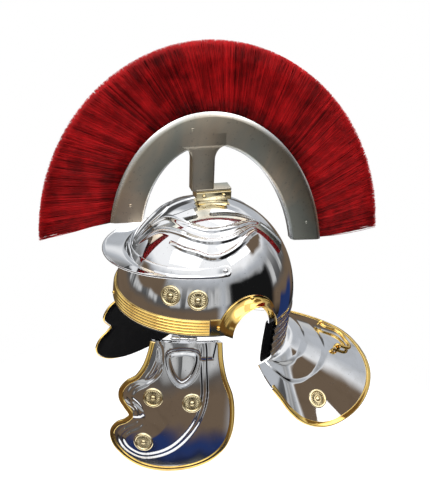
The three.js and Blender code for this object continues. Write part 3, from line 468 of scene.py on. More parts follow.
def bar(path, axis, thick, sides, flat=1.0):
    """Rings of a bar along a path that is square to an axis: ellipses, flat times as long along the axis."""
    across = np.cross(unit(np.gradient(path, axis=0)), axis)
    turn = full_turn(sides)[:, None]
    ring = np.cos(turn) * across[:, None] + flat * np.sin(turn) * np.array(axis)
    return path[:, None] + np.broadcast_to(thick, len(path))[:, None, None] * ring


def rounded(half_x, half_y, ease, steps=5):
    """Places round a rectangle whose corners are quarter circles, as rows of x and y."""
    angle = (PI / 2 * np.arange(4)[:, None] + np.linspace(0, PI / 2, steps)).ravel()
    x = np.repeat([1, -1, -1, 1], steps) * (half_x - ease) + ease * np.cos(angle)
    y = np.repeat([1, 1, -1, -1], steps) * (half_y - ease) + ease * np.sin(angle)
    return x, y


def mirrored(part):
    """The same part on the wearer's other side, with its faces turned to stay outward."""
    points, faces = part
    return points * [-1, 1, 1], [group[:, ::-1] for group in faces]


def joined(parts):
    """The points of all parts in one array, and their faces counted on from it."""
    faces, start = [], 0
    for points, groups in parts:
        for group in groups:
            faces += (group + start).tolist()
        start += len(points)
    return np.concatenate([points for points, _ in parts]), faces


def merge(mesh, reach):
    """Merges a mesh's points within a reach, drops faces of no size and turns the rest outward."""
    work = bmesh.new()
    work.from_mesh(mesh)
    bmesh.ops.remove_doubles(work, verts=work.verts, dist=reach)
    bmesh.ops.dissolve_degenerate(work, edges=work.edges, dist=1e-7)
    bmesh.ops.recalc_face_normals(work, faces=work.faces)
    work.to_mesh(mesh)
    work.free()


def make(name, parts, body, slot, material, *nodes, sharp=38, tidy=True, tones=None):
    """Turns parts into a piece that stands for nodes, rides on body and takes its finish from material; slot
    is not used.
    """
    points, faces = joined(parts)
    mesh = bpy.data.meshes.new(name)
    mesh.from_pydata(points - [0, 0, RIM], [], faces)
    for label, values in (tones or {}).items():
        layer = mesh.attributes.new(label, "FLOAT", "POINT")
        layer.data.foreach_set("value", np.asarray(values, np.float32).ravel())
    if tidy:
        merge(mesh, 2e-6)
    mesh.shade_smooth()
    if sharp:
        mesh.set_sharp_from_angle(angle=np.radians(sharp))
    piece = bpy.data.objects.new(name, mesh)
    bpy.context.scene.collection.objects.link(piece)
    mesh.materials.append(bpy.data.materials[FINISH + material])
    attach(piece, body)
    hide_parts(*nodes)
    return piece


# The skull, nape and neck guard

def skull_point(azimuth, elevation, offset=0.0):
    """The ellipsoid: azimuth turns from the face past the left ear, elevation rises from the rim's plane."""
    azimuth, elevation, offset = np.broadcast_arrays(azimuth, elevation, offset)
    flat = np.cos(elevation)
    return np.stack([(HALF_WIDTH + offset) * flat * np.sin(azimuth),
                     -(HALF_LENGTH + offset) * flat * np.cos(azimuth),
                     (HEIGHT + offset) * np.sin(elevation)], -1)


def skull_normal(point):
    """The ellipsoid's gradient at a point."""
    return unit(point / np.array([HALF_WIDTH, HALF_LENGTH, HEIGHT]) ** 2)


def skull_under(plan, offset=0.0):
    """The skull's point under plan shares of its half-width and half-length."""
    across, along = plan[..., 0], plan[..., 1]
    return skull_point(np.arctan2(across, -along), np.arccos(np.minimum(1, np.hypot(across, along))), offset)


def elevation_at(height):
    """Elevation angle of a height above the rim's plane."""
    return np.arcsin(height / HEIGHT)


def azimuth_behind(y):
    """Azimuth of the rim's point at a distance behind the middle."""
    return PI / 2 + np.arcsin(y / HALF_LENGTH)


def azimuth_at(y, elevation):
    """Azimuth of the skull's point at a distance behind the middle and an elevation."""
    return PI / 2 + np.arcsin(np.clip(y / (HALF_LENGTH * np.cos(elevation)), -1, 1))


def rim_height(azimuth):
    """The rim rises over each ear in half an ellipse."""
    along = (-HALF_LENGTH * np.cos(azimuth) - EAR_CENTRE) / EAR_REACH
    return EAR_HEIGHT * np.sqrt(np.clip(1 - along ** 2, 0, 1))


NAPE_AZIMUTH = azimuth_behind(NAPE_START)
NAPE_REAR = HALF_LENGTH * (1 - NAPE_TUCK)
GUARD_POINTS = (GUARD_OUTLINE * [GUARD_HALF_WIDTH, GUARD_REACH, -GUARD_DROP]) + [0, NAPE_REAR, -NAPE_DEPTH]


def guard_edge(share):
    """The guard's edge: share runs from the left corner at zero over the rear to the right corner at two."""
    edge = spline(GUARD_POINTS, np.where(share <= 1, share, 2 - share))
    edge[..., 0] *= np.where(share <= 1, 1, -1)
    return edge


def nape_share(azimuth):
    """Share of an azimuth along the guard's edge."""
    return (azimuth - NAPE_AZIMUTH) / (PI - NAPE_AZIMUTH)


def nape_point(azimuth, down, offset=0.0):
    """The nape: the rim's ellipse carried down, drawn in by a sine of the depth."""
    azimuth, down, offset = np.broadcast_arrays(azimuth, down, offset)
    tuck = 1 - NAPE_TUCK * np.sin(down * PI / 2)
    return np.stack([(HALF_WIDTH * tuck + offset) * np.sin(azimuth),
                     -(HALF_LENGTH * tuck + offset) * np.cos(azimuth), -NAPE_DEPTH * down], -1)


def guard_normal(azimuth):
    """Normal of the neck guard: the way outwards crossed with the way along its edge."""
    share = nape_share(azimuth)
    along = guard_edge(np.minimum(2, share + 0.02)) - guard_edge(np.maximum(0, share - 0.02))
    return unit(np.cross(guard_edge(share) - nape_point(azimuth, 1), along))


def guard_point(azimuth, out, offset=0.0):
    """The neck guard: straight lines from the nape's lower edge to the guard's, lifted along the normal."""
    azimuth, out, offset = np.broadcast_arrays(azimuth, out, offset)
    inner = nape_point(azimuth, 1)
    lift = offset[..., None] * guard_normal(azimuth)
    return inner + (guard_edge(nape_share(azimuth)) - inner) * out[..., None] + lift


def skull_relief(points, relief):
    """Height of the eyebrow ridges and crown panels over the skull, by distance from their lines."""
    folded = points.copy()
    folded[..., 0] = np.abs(folded[..., 0])
    height = np.zeros(points.shape[:-1])
    for path in BROW_RIDGES:
        line = skull_under(spline(path, np.linspace(0, 1, 70)))
        reach = line_distance(folded, line)
        nearest = np.clip((folded[..., 1] - line[0, 1]) / (line[-1, 1] - line[0, 1]), 0, 1)
        swell = 0.3 + 0.7 * np.sqrt(np.sin(PI * np.clip(nearest, 0.001, 0.999)))
        crest = 1 - smooth(0.12, 1, reach / (relief.ridge_half * (0.5 + 0.5 * swell)))
        height = np.maximum(height, relief.ridge * swell * crest)
    lens = np.vstack([spline(CROWN_EDGE, np.linspace(0, 1, 24)),
                      spline(BROW_RIDGES[0][2:], np.linspace(0, 1, 30))])
    depth = inside_distance(folded[..., :2], lens * [HALF_WIDTH, HALF_LENGTH])
    return np.maximum(height, relief.crown * smooth(-0.6 * MM, 1.4 * MM, depth))


def nape_ribs(down, relief):
    """Rounded ribs: a raised cosine over the nape's depth."""
    phase = down * (2 * NAPE_RIBS + 1) / 2
    return relief.nape_rib * np.where(np.abs(phase - 3) < 2.5, 0.5 + 0.5 * np.cos(2 * PI * phase), 0)


def guard_steps(out, relief):
    """Two low steps across the neck guard."""
    left = sum(1 - smooth(start, start + STEP_RUN, out) for start in GUARD_STEPS)
    return relief.guard_step * smooth(0.0, 0.08, out) * left


def build_bowl(relief):
    """The bowl's wall: skull rows from crown to rim, then nape and guard rows on the rear columns."""
    ear_front = azimuth_behind(EAR_CENTRE - EAR_REACH)
    ear = azimuth_behind(EAR_CENTRE - EAR_REACH * np.cos(PI * np.arange(EAR_COLUMNS) / EAR_COLUMNS))
    half = np.concatenate([
        np.linspace(0, ear_front, FACE_COLUMNS, endpoint=False), ear,
        np.linspace(azimuth_behind(EAR_CENTRE + EAR_REACH), NAPE_AZIMUTH, SIDE_COLUMNS, endpoint=False),
        np.linspace(NAPE_AZIMUTH, PI, REAR_COLUMNS),
    ])
    azimuth = np.concatenate([half, 2 * PI - half[-2:0:-1]])[:, None]
    is_nape = np.abs(azimuth[:, 0] - PI) < PI - NAPE_AZIMUTH + 1e-6
    rim = elevation_at(rim_height(azimuth))
    rows = np.concatenate([np.linspace(0, CROWN_SHARE, CROWN_ROWS, endpoint=False),
                           np.linspace(CROWN_SHARE, 1, RIM_ROWS)])
    elevation = PI / 2 + (rim - PI / 2) * rows
    down = np.linspace(0, 1, NAPE_ROWS)[1:]
    out = np.linspace(0, 1, GUARD_ROWS)[1:]
    behind = np.where(is_nape[:, None], azimuth, PI)
    raised = skull_relief(skull_point(azimuth, elevation), relief)

    def grid(offset, lift):
        return np.concatenate([skull_point(azimuth, elevation, offset + lift * raised),
                               nape_point(behind, down, offset + nape_ribs(down, relief)),
                               guard_point(behind, out, offset + guard_steps(out, relief))], 1)

    outer = grid(0.0, 1)
    present = np.ones((len(azimuth), outer.shape[1] - 1), bool)
    present[:, elevation.shape[1] - 1:] = (is_nape & np.roll(is_nape, -1))[:, None]
    return [shell(outer, grid(-STEEL, 0.8), present, True)]


def build_nape_lining():
    """The pad inside the nape: two offsets of the nape's surface, gently quilted."""
    start = azimuth_behind(NAPE_START - LINING_EDGE)
    azimuth = np.linspace(start, 2 * PI - start, 150)[:, None]
    down = np.linspace(-0.02, 0.96, 40)
    depth = STEEL + GAP

    def grid(offset):
        points = nape_point(azimuth, np.maximum(0, down), offset)
        points[..., 2] = -NAPE_DEPTH * down
        return points

    edge = smooth(0, 0.06, down + 0.02) * (1 - smooth(0.9, 0.96, down))
    pad = LINING * (0.72 + 0.28 * edge)
    return [shell(grid(-depth), grid(-depth - pad))]


def build_neck_trim():
    """The brass angle: its rounded profile carried along the guard's edge, square to it."""
    azimuth = NAPE_AZIMUTH + (PI - NAPE_AZIMUTH) * np.linspace(0.11, 1.89, 220)
    edge = guard_point(azimuth, 1.0)
    outward = unit(edge - guard_point(azimuth, 0.72))
    share = nape_share(azimuth)
    along = unit(guard_edge(np.minimum(2, share + 0.02)) - guard_edge(np.maximum(0, share - 0.02)))
    spread = 1 / np.linalg.norm(np.cross(along, outward), axis=-1, keepdims=True)
    over, up = rolled_edge(TRIM_WIDTH, STEEL + GAP).T[..., None]
    return [swept(edge[:, None] + over * (outward * spread)[:, None] + up * guard_normal(azimuth)[:, None])]


def rolled_edge(width, below):
    """A trim's section: a flange of a width on the face, a half-round over the edge and a lip below it."""
    top, ease = GAP + BRASS, 0.5 * MM
    turn = np.linspace(0, PI / 2, 6)
    over = np.stack([GAP + BRASS * np.sin(turn), GAP + BRASS * np.cos(turn)], -1)
    bead = np.stack([ROLL - width - ROLL * np.sin(turn), top - ROLL + ROLL * np.cos(turn)], -1)
    lip = [(top, ease - below), (top - ease, -below), (GAP, -below)]
    return np.array([(GAP, GAP), (-width, GAP), *bead[::-1], *over, *lip])


# Forehead pieces

def build_brow_band(relief):
    """The ribbed band: a wall whose outer offset follows five half-sines up it, and its middle rivet."""
    reach = azimuth_behind(EAR_CENTRE - EAR_REACH) - BAND_END
    azimuth = np.linspace(-reach, reach, 200)[:, None]
    share = np.linspace(0, 1, 61)
    elevation = elevation_at(BAND_RISE + BAND_HEIGHT * share)
    rib = relief.band_rib * np.abs(np.sin(BAND_RIBS * PI * share)) ** 0.75
    stud = skull_point(0.0, elevation_at(BAND_RISE + BAND_HEIGHT / 2), GAP + BRASS)
    return [shell(skull_point(azimuth, elevation, GAP + BRASS + rib), skull_point(azimuth, elevation, GAP)),
            dome(stud, skull_normal(stud), 0.7 * RIVET, RIVET)]


def build_visor():
    """The brow guard: a strap with round ends and, at its foot, a flange that swells to the front."""
    share = np.linspace(-1, 1, 261)
    half = VISOR_STRAP / 2
    azimuth = PI * VISOR_REACH * share
    height = VISOR_HEIGHT + VISOR_LIFT * share ** 2
    fullness = np.cos(share * PI / 2)
    projection = STEEL + VISOR_PROJECTION * fullness ** 3
    lift = VISOR_LIFT * fullness
    end = half / (PI * VISOR_REACH * VISOR_RADIUS)
    tip = np.clip((np.abs(share) - 1 + end) / end, 0, 0.999)
    narrow = np.sqrt(1 - tip ** 2)
    out = np.stack([np.sin(azimuth), -np.cos(azimuth), 0 * azimuth], -1)
    flat = smooth(0.02, 0.3, fullness)

    def strap(dz, offset):
        return skull_point(azimuth, elevation_at(height + dz * narrow), offset)

    foot = strap(-half, GAP + STEEL)
    reach = projection * narrow

    def flange(way, up):
        point = foot + out * (way * reach)[:, None]
        point[:, 2] = foot[:, 2] + lift * way ** 1.5 * flat + up
        return point

    turn = np.linspace(0, PI / 2, 5)
    crown = [strap(half - ROLL * (1 - np.cos(t)), GAP + STEEL * np.sin(t)) for t in turn]
    face = [strap(dz, GAP + STEEL) for dz in np.linspace(half - ROLL, VISOR_ROOT - half, 6)[1:]]
    shelf = [flange(way, STEEL) for way in np.linspace(0.06, 0.93, 10)]
    lip = [flange(VISOR_END + (1 - VISOR_END) * np.cos(t), STEEL * (0.5 + 0.9 * np.sin(t)))
           for t in np.linspace(PI / 2, -PI / 2, 9)]
    under = [flange(way, 0.0) for way in np.linspace(0.9, 0.0, 9)]
    parts = [swept(np.stack([*crown, *face, *shelf, *lip, *under, strap(-half, GAP)], 1))]
    end_height = elevation_at(VISOR_HEIGHT + 0.92 * VISOR_LIFT)
    for side in (-1, 1):
        centre = skull_point(VISOR_END * side * PI * VISOR_REACH, end_height, GAP + STEEL)
        parts.append(dome(centre, skull_normal(centre), RIVET, RIVET))
    return parts


def ear_arch(angle, rise):
    """A place on the arch round the ear opening, as azimuth and elevation."""
    along = EAR_CENTRE - (EAR_REACH + rise) * np.cos(angle)
    elevation = elevation_at(BAND_RISE + (EAR_HEIGHT - BAND_RISE + rise) * np.sin(angle))
    return azimuth_at(along, elevation), elevation


def build_ear_guard():
    """The flared arch: its offset from the skull grows as a power towards the opening, ending in a bead."""
    angle = np.linspace(0, PI, 90)[:, None]
    width = 1 - EAR_TAPER * angle / PI
    share = np.linspace(0, 1, 26)
    rise = EAR_WIDTH + (STEEL / 2 - EAR_WIDTH) * share
    azimuth, elevation = ear_arch(angle, rise * width)
    lift = GAP + EAR_FLARE * share ** 2.4
    round_off = BRASS * (1 - 0.75 * smooth(0.93, 1, share) - 0.5 * (1 - smooth(0, 0.05, share)))
    parts = [shell(skull_point(azimuth, elevation, lift + round_off), skull_point(azimuth, elevation, lift))]
    front = azimuth_behind(EAR_CENTRE - EAR_REACH)
    clear = azimuth_behind(EAR_CENTRE - EAR_REACH - EAR_PLATE_CLEAR)
    plate = np.linspace(front - EAR_PLATE, clear, 20)[:, None]
    rows = elevation_at(BAND_RISE + BAND_HEIGHT * np.linspace(1, 0, 14))
    parts.append(shell(skull_point(plate, rows, GAP + BRASS), skull_point(plate, rows, GAP)))
    low = skull_point(front - EAR_PLATE_RIVET, elevation_at(BAND_RISE + BAND_HEIGHT / 2), GAP + BRASS)
    top_azimuth, top_elevation = ear_arch(PI / 2, EAR_WIDTH * (1 - EAR_TAPER / 2) * 0.8)
    top = skull_point(top_azimuth, top_elevation, GAP + BRASS)
    parts += [dome(place, skull_normal(place), 0.8 * RIVET, 0.9 * RIVET) for place in (low, top)]
    return parts


def rosette(centre, normal, relief, bend):
    """A rosette: a ring, rays as a cosine of the turn and a domed middle, less bend times radius squared."""
    turn = full_turn(4 * relief.spokes)[:, None]
    share = ROSETTE_RINGS
    middle = ROSETTE_HEIGHT * np.sqrt(np.clip(1 - (share / 0.27) ** 2, 0, 1)) * 0.62
    collar = 0.5 * MM * np.exp(-((share - 0.33) / 0.035) ** 2)
    ring = 1.25 * MM * np.sqrt(np.clip(1 - ((share - 0.88) / 0.13) ** 2, 0, 1))
    rays = 0.75 * MM * smooth(0.36, 0.46, share) * (1 - smooth(0.68, 0.76, share)) * (
        0.5 + 0.5 * np.cos(relief.spokes * turn))
    radius = ROSETTE_RADIUS * share + 0 * turn
    sag = bend * radius ** 2
    base = centre + radius[..., None] * spokes(normal, turn)
    height = 0.55 * MM + middle + collar + ring + rays - sag
    floor = -sag - 0.3 * MM
    return [shell(base + height[..., None] * normal, base + floor[..., None] * normal, wrapped=True)]


def rosette_hollows(relief):
    """Where a rosette is dark: between the rays and in the groove round its middle, but not below."""
    turn = full_turn(4 * relief.spokes)[:, None]
    ray = 0.5 + 0.5 * np.cos(relief.spokes * turn)
    valley = smooth(0.36, 0.44, ROSETTE_RINGS) * (1 - smooth(0.70, 0.76, ROSETTE_RINGS))
    groove = np.exp(-((ROSETTE_RINGS - 0.28) / 0.03) ** 2)
    top = np.clip(valley * (1 - 0.75 * ray) + groove + 0 * turn, 0, 1)
    return {"age": np.concatenate([top.ravel(), 0 * top.ravel()])}


# Cheek guards

RIM_X = HALF_WIDTH * np.sqrt(1 - (HINGE_PLACE / HALF_LENGTH) ** 2) - STEEL / 2
HINGE_OUT = np.array([np.cos(CHEEK_TURN), -np.sin(CHEEK_TURN), 0])
HINGE_ALONG = np.array([np.sin(CHEEK_TURN), np.cos(CHEEK_TURN), 0])


def on_hinge(n, u, z):
    """A point of the left guard's frame, given outwards, along the hinge and upwards, on the helmet."""
    n, u, z = (np.asarray(v, float)[..., None] for v in np.broadcast_arrays(n, u, z))
    return n * HINGE_OUT + u * HINGE_ALONG + z * [0, 0, 1] + [RIM_X, HINGE_PLACE, 0]


def cheek_place(shares):
    """Shares of the guard's width and height as lengths along the hinge and upwards."""
    return np.asarray(shares, float) * [CHEEK_WIDTH, -CHEEK_HEIGHT] + [0, CHEEK_TOP]


def cheek_swell(u, z):
    """The plate's face: it curls in as the square of the way across, flares downwards and bows out."""
    down = (CHEEK_TOP - z) / CHEEK_HEIGHT
    bow = 4 * CHEEK_BOW * down * (1 - down)
    return -CHEEK_CURL * (2 * u / CHEEK_WIDTH) ** 2 + CHEEK_FLARE * down + bow


def cheek_normal(u, z):
    """Normal of the plate's face in the guard's own frame, from the slopes of its formula."""
    down = (CHEEK_TOP - z) / CHEEK_HEIGHT
    fall = (CHEEK_FLARE + 4 * CHEEK_BOW * (1 - 2 * down)) / CHEEK_HEIGHT
    return unit(np.stack(np.broadcast_arrays(1.0, 8 * CHEEK_CURL * u / CHEEK_WIDTH ** 2, fall), -1))


def cheek_relief(u, z, relief):
    """Height of the guard's beaten forms: a panel in two steps, loop, lobe, crescent and hinge step."""
    place = np.stack([u, z], -1)
    shares = np.linspace(0, 1, 120, endpoint=False)

    def inside(points):
        """Depth inside a closed outline of the guard in millimetres."""
        return inside_distance(place, cheek_place(points)) / MM

    panel = inside(spline(CHEEK_PANEL, shares, True))
    height = relief.cheek_step * (smooth(-1, 1, panel) + smooth(5.5, 7.5, panel))
    height += 0.9 * MM * smooth(8, 45, panel)
    loop = np.abs(inside(spline(CHEEK_LOOP, shares[::2], True)))
    lobe = line_distance(place, cheek_place(spline(CHEEK_LOBE, np.linspace(0, 1, 50)))) / MM
    height -= relief.groove * (1 - smooth(1.2, 3.4, loop))
    height -= relief.groove * 0.8 * (1 - smooth(1.0, 3.6, lobe))
    height += 1.2 * MM * smooth(-0.8, 1.2, inside(spline(CHEEK_CRESCENT, shares[::3], True)))
    height += 1.0 * MM * smooth(-0.8, 0.8, inside(CHEEK_STEP))
    return np.maximum(height, 0.15 * MM)


def cheek_edge(shares, grow=0.0):
    """The guard's outline, moved outwards by a distance."""
    edge = cheek_place(spline(CHEEK_OUTLINE, shares))
    way = unit(np.gradient(edge, axis=0))
    return edge + grow * np.stack([-way[:, 1], way[:, 0]], -1)


def cheek_grid(columns, rows, top, grow=0.0):
    """Places over the guard: rows run down it, and each runs from the front edge to the rear one."""
    edge = cheek_edge(np.linspace(0, 1, 900), grow)
    lowest = edge[:, 1].argmin()
    z = top + (edge[lowest, 1] + 0.05 * MM - top) * np.sin(np.linspace(0, PI / 2, rows))
    front = np.interp(-z, -edge[:lowest + 1, 1], edge[:lowest + 1, 0])
    rear = np.interp(z, edge[lowest:, 1], edge[lowest:, 0])
    share = np.linspace(0, 1, columns)[:, None]
    return front + (rear - front) * share, z + 0 * share


def hinge_knuckle(middle, length):
    """A rolled knuckle with eased ends about the hinge's line."""
    half = length / 2
    ease = 0.4 * MM
    profile = [(PIN_RADIUS, -half), (HINGE_RADIUS - ease, -half), (HINGE_RADIUS, ease - half),
               (HINGE_RADIUS, half - ease), (HINGE_RADIUS - ease, half), (PIN_RADIUS, half)]
    return lathe(profile, on_hinge(0, middle, HINGE_HEIGHT), HINGE_ALONG, 28)


KNUCKLE = HINGE_LENGTH / 3


def build_cheek_plate(relief):
    """The steel plate with its beaten relief, its tab and the knuckle that turns on the pin."""
    u, z = cheek_grid(96, 132, CHEEK_TOP)
    face = cheek_swell(u, z)
    outer = on_hinge(face + cheek_relief(u, z, relief), u, z)
    inner = on_hinge(face - STEEL, u, z)
    tab_u = np.linspace(-KNUCKLE / 2 + GAP, KNUCKLE / 2 - GAP, 6)[:, None]
    tab_z = np.linspace(HINGE_HEIGHT, CHEEK_TOP - 1 * MM, 6)
    tab = shell(on_hinge(0.0, tab_u, tab_z), on_hinge(-STEEL, tab_u, tab_z))
    return [shell(outer, inner), tab, hinge_knuckle(0, KNUCKLE - 2 * GAP)]


def build_cheek_trim():
    """The brass edging: the rolled section carried round the guard's outline, square to the plate."""
    edge = cheek_edge(np.linspace(0, 1, 420))
    edge = edge[edge[:, 1] < CHEEK_TOP - 1 * MM]
    u, z = edge.T
    normal = cheek_normal(u, z)
    path = np.stack([cheek_swell(u, z), u, z], -1)
    outward = unit(np.cross(normal, np.gradient(path, axis=0)))
    outward = outward * np.sign(-outward[0, 1])
    over, up = rolled_edge(CHEEK_TRIM, STEEL).T[..., None]
    rings = path[:, None] + over * outward[:, None] + up * normal[:, None]
    return [swept(on_hinge(*np.moveaxis(rings, -1, 0)))]


def build_cheek_lining():
    """The pad behind the plate: two offsets of the plate's face, thinner towards its edge."""
    u, z = cheek_grid(60, 80, CHEEK_TOP - 1 * MM, 1 * MM)
    face = cheek_swell(u, z) - STEEL - GAP
    across = np.linspace(0, 1, 60)[:, None]
    edge = smooth(0, 0.05, across) * smooth(0, 0.05, 1 - across)
    return [shell(on_hinge(face, u, z), on_hinge(face - LINING * (0.6 + 0.4 * edge), u, z))]


def build_cheek_hinge():
    """The fixed half of a hinge: a leaf inside the bowl and two knuckles joined to it."""
    middle = azimuth_behind(HINGE_PLACE)
    spread = np.arcsin(HINGE_LENGTH / 2 / HALF_LENGTH)
    azimuth = np.linspace(middle - spread, middle + spread, 16)[:, None]
    rows = elevation_at(np.linspace(HINGE_LEAF, HINGE_HEIGHT, 8))
    depth = STEEL + 4 * GAP
    parts = [shell(skull_point(azimuth, rows, -depth), skull_point(azimuth, rows, -depth - BRASS))]
    for side in (-1, 1):
        parts.append(hinge_knuckle(side * KNUCKLE, KNUCKLE - 2 * GAP))
        reach = np.linspace(-2 * HINGE_RADIUS, 0, 4)[:, None]
        along = np.linspace(-KNUCKLE / 2 + GAP, KNUCKLE / 2 - GAP, 5) + side * KNUCKLE
        top, low = HINGE_HEIGHT + HINGE_RADIUS / 2, HINGE_HEIGHT - HINGE_RADIUS / 2
        parts.append(shell(on_hinge(reach, along, top), on_hinge(reach, along, low)))
    return parts


def build_cheek_pin():
    """The pin: a thin bar with eased ends."""
    half, ease = HINGE_LENGTH / 2 + 1 * MM, 0.3 * MM
    tip = 0.7 * PIN_RADIUS
    profile = [(0, -half), (tip, -half), (PIN_RADIUS, ease - half), (PIN_RADIUS, half - ease), (tip, half),
               (0, half)]
    return [lathe(profile, on_hinge(0, 0, HINGE_HEIGHT), HINGE_ALONG, 20)]


# Crest

def crest_plane(u, v):
    """A place in the crest's tilted plane as distances behind the middle and above the rim's plane."""
    return (CREST_CENTRE[0] + u * np.cos(CREST_TILT) - v * np.sin(CREST_TILT),
            CREST_CENTRE[1] + u * np.sin(CREST_TILT) + v * np.cos(CREST_TILT))


def crest_arc(angle, inset):
    """An ellipse about the crest's middle; the angle in degrees runs from the front base."""
    turn = np.radians(angle)
    return crest_plane(-(CREST_LENGTH - inset) * np.cos(turn), (CREST_RISE - inset) * np.sin(turn))


def crest_section(bevel):
    """The box's section with its slot: insets from the outer edge, and distances from the middle plane."""
    inner = CREST_BAND - bevel
    right = np.array([
        (SLOT_DEPTH, 0.0), (SLOT_DEPTH, SLOT_HALF), (3 * LIP, SLOT_HALF), (2 * LIP, SLOT_HALF + LIP),
        (3 * LIP, SLOT_HALF + 2 * LIP), (BEVEL_RUN - 2 * LIP, CREST_HALF - LIP),
        (BEVEL_RUN + 2 * LIP, CREST_HALF), (inner - 0.5 * MM, CREST_HALF),
        (inner + 0.3 * MM, CREST_HALF - 0.15 * MM), (CREST_BAND - 0.3 * MM, CREST_HALF - bevel + LIP),
        (CREST_BAND, CREST_HALF - bevel - 0.5 * MM), (CREST_BAND, 0.0),
    ])
    return np.vstack([right, right[-2:0:-1] * [1, -1]])


def build_crest_arch():
    """The arch: its section carried along the ellipse, drawn in at both ends and square beside the post."""
    steps = 150
    places = np.concatenate([[0, 0], np.linspace(0, 1, steps), [1, 1]])
    fullness = np.concatenate([[0, 0.5], np.ones(steps), [0.5, 0]])
    rings = []
    for place, drawn in zip(places, 1 - fullness):
        angle = CREST_FRONT + (CREST_REAR - CREST_FRONT) * place
        clear = smooth(*POST_CLEAR, abs(angle - POST_ANGLE))
        inset, across = crest_section(max(0.1 * MM, CREST_BEVEL * clear)).T
        eased = np.clip(inset, drawn * END_OUTER, CREST_BAND - drawn * END_INNER)
        inset = np.where(inset == SLOT_DEPTH, inset, eased)
        across = across * (1 - drawn * END_SIDE * (np.abs(across) > SLOT_HALF + 1.5 * LIP))
        start = CREST_FRONT + CREST_FRONT_LEAN * inset / CREST_BAND
        end = CREST_REAR - CREST_REAR_LEAN * inset / CREST_BAND
        y, z = crest_arc(start + (end - start) * place, inset)
        rings.append(np.stack([across, y, z], -1))
    return swept(np.array(rings)), len(rings)


def build_crest_post():
    """The post: rounded rectangles stacked from foot to arch, widening under it in a quarter circle."""
    window = crest_plane(0, CREST_RISE - CREST_BAND)[1]
    z = np.linspace(FOOT_TOP - FOOT_HALF, window + CREST_BAND / 2.5, 60)[:, None]
    rise = np.clip((z - window + FILLET_DROP) / FILLET_REACH, 0, 1)
    flare = POST_FILLET * (1 - np.sqrt(1 - rise ** 2))
    x, y = rounded(CREST_HALF + 0.02 * MM, POST_HALF + flare, POST_EASE)
    return swept(np.stack(np.broadcast_arrays(x, y + POST_PLACE, z), -1))


def build_crest_box():
    """The crest box: arch, post, foot and rivets, with the share of painted highlight on the arch's bevels.
    """
    arch, count = build_crest_arch()
    foot = eased_block((0, FIXTURE_PLACE, FOOT_TOP - FOOT_HALF),
                       (FOOT_HALF_WIDTH, FIXTURE_LENGTH / 2, FOOT_HALF), 0.5 * MM)
    parts = [arch, build_crest_post(), foot]
    for angle, inset in CREST_RIVETS:
        y, z = crest_arc(angle, inset)
        for side in (-1.0, 1.0):
            seat = np.array([side * CREST_HALF, y, z])
            parts.append(dome(seat, np.array([side, 0, 0]), 1.8 * MM, 0.9 * MM))
    # The bevel faces of the arch's section, which carry the painted highlight
    bevels = np.isin(np.arange(12), (3, 4, 9, 10))
    bevel_highlight = np.tile(np.concatenate([bevels, bevels[-2:0:-1]]), count)
    plain = np.zeros(sum(len(points) for points, _ in parts[1:]))
    return parts, {"bevel_highlight": np.concatenate([bevel_highlight, plain])}


def eased_block(centre, half, ease):
    """A block with eased edges: rounded rectangles stacked upwards, drawn in at the top and bottom."""
    turn = np.linspace(0, PI / 2, 5)
    levels = np.concatenate([ease * (1 - np.cos(turn)) - half[2], half[2] - ease * (1 - np.cos(turn[::-1]))])
    drawn = ease * (1 - np.sin(np.concatenate([turn, turn[::-1]])))[:, None]
    x, y = rounded(half[0], half[1], ease)
    ring = [x * (1 - drawn / half[0]), y * (1 - drawn / half[1]), levels[:, None]]
    return swept(np.stack(np.broadcast_arrays(*ring), -1) + centre)


def build_fixture():
    """The brass mount: a block whose underside lies on the crown, with two rivets on each side."""
    x, y = rounded(FIXTURE_HALF, FIXTURE_LENGTH / 2, FIXTURE_EASE, 6)

    def crown(share):
        """The crown's height under the block's outline, drawn in to a share."""
        across, along = x * share / HALF_WIDTH, (y * share + FIXTURE_PLACE) / HALF_LENGTH
        return (HEIGHT + 3 * GAP) * np.sqrt(1 - across ** 2 - along ** 2)

    rings = [(x * share, y * share, crown(share)) for share in (0.02, 0.5, 0.95)]
    floor, widest = crown(1), FIXTURE_RINGS[-1][1]
    for level, wide in FIXTURE_RINGS:
        rings.append((x * wide, y * (0.3 + 0.7 * wide / widest), floor + (FIXTURE_TOP - floor) * level))
    for turn in np.linspace(0, PI / 2, 6):
        share = 1 - 0.05 * (1 - np.cos(turn))
        rings.append((x * share * 0.982, y * share, 0 * x + FIXTURE_TOP - FIXTURE_EASE * (1 - np.sin(turn))))
    parts = [swept(np.stack(rings).transpose(0, 2, 1) + [0, FIXTURE_PLACE, 0])]
    for side in (-1.0, 1.0):
        for end in (-1, 1):
            seat = np.array([side * (FIXTURE_HALF - 0.5 * MM), FIXTURE_PLACE + end * 0.28 * FIXTURE_LENGTH,
                             FIXTURE_TOP - 5 * MM])
            parts.append(dome(seat, np.array([side, 0, 0]), 0.8 * RIVET, 0.7 * RIVET))
    return parts


def hair_ends(root_angle, tip_angle, inset, reach):
    """Root and tip of hair at angles along the crest; reach is the share of the full length."""
    root = np.stack(crest_arc(root_angle, inset), -1)
    turn = np.radians(tip_angle)
    tip = np.stack(crest_plane(-(CREST_LENGTH + HAIR_LENGTH) * np.cos(turn),
                               (CREST_RISE + HAIR_OVER) * np.sin(turn) + HAIR_LIFT), -1)
    return root, root + (tip - root) * np.asarray(reach)[..., None]


def hair_angles(share):
    """Root and tip angles of a share of the way along the crest."""
    span = CREST_REAR - CREST_FRONT
    return (CREST_FRONT + HAIR_ROOT_INSET + (span - 2 * HAIR_ROOT_INSET) * share,
            CREST_FRONT - HAIR_FRONT_FAN + (span + HAIR_FRONT_FAN + HAIR_REAR_FAN) * share)


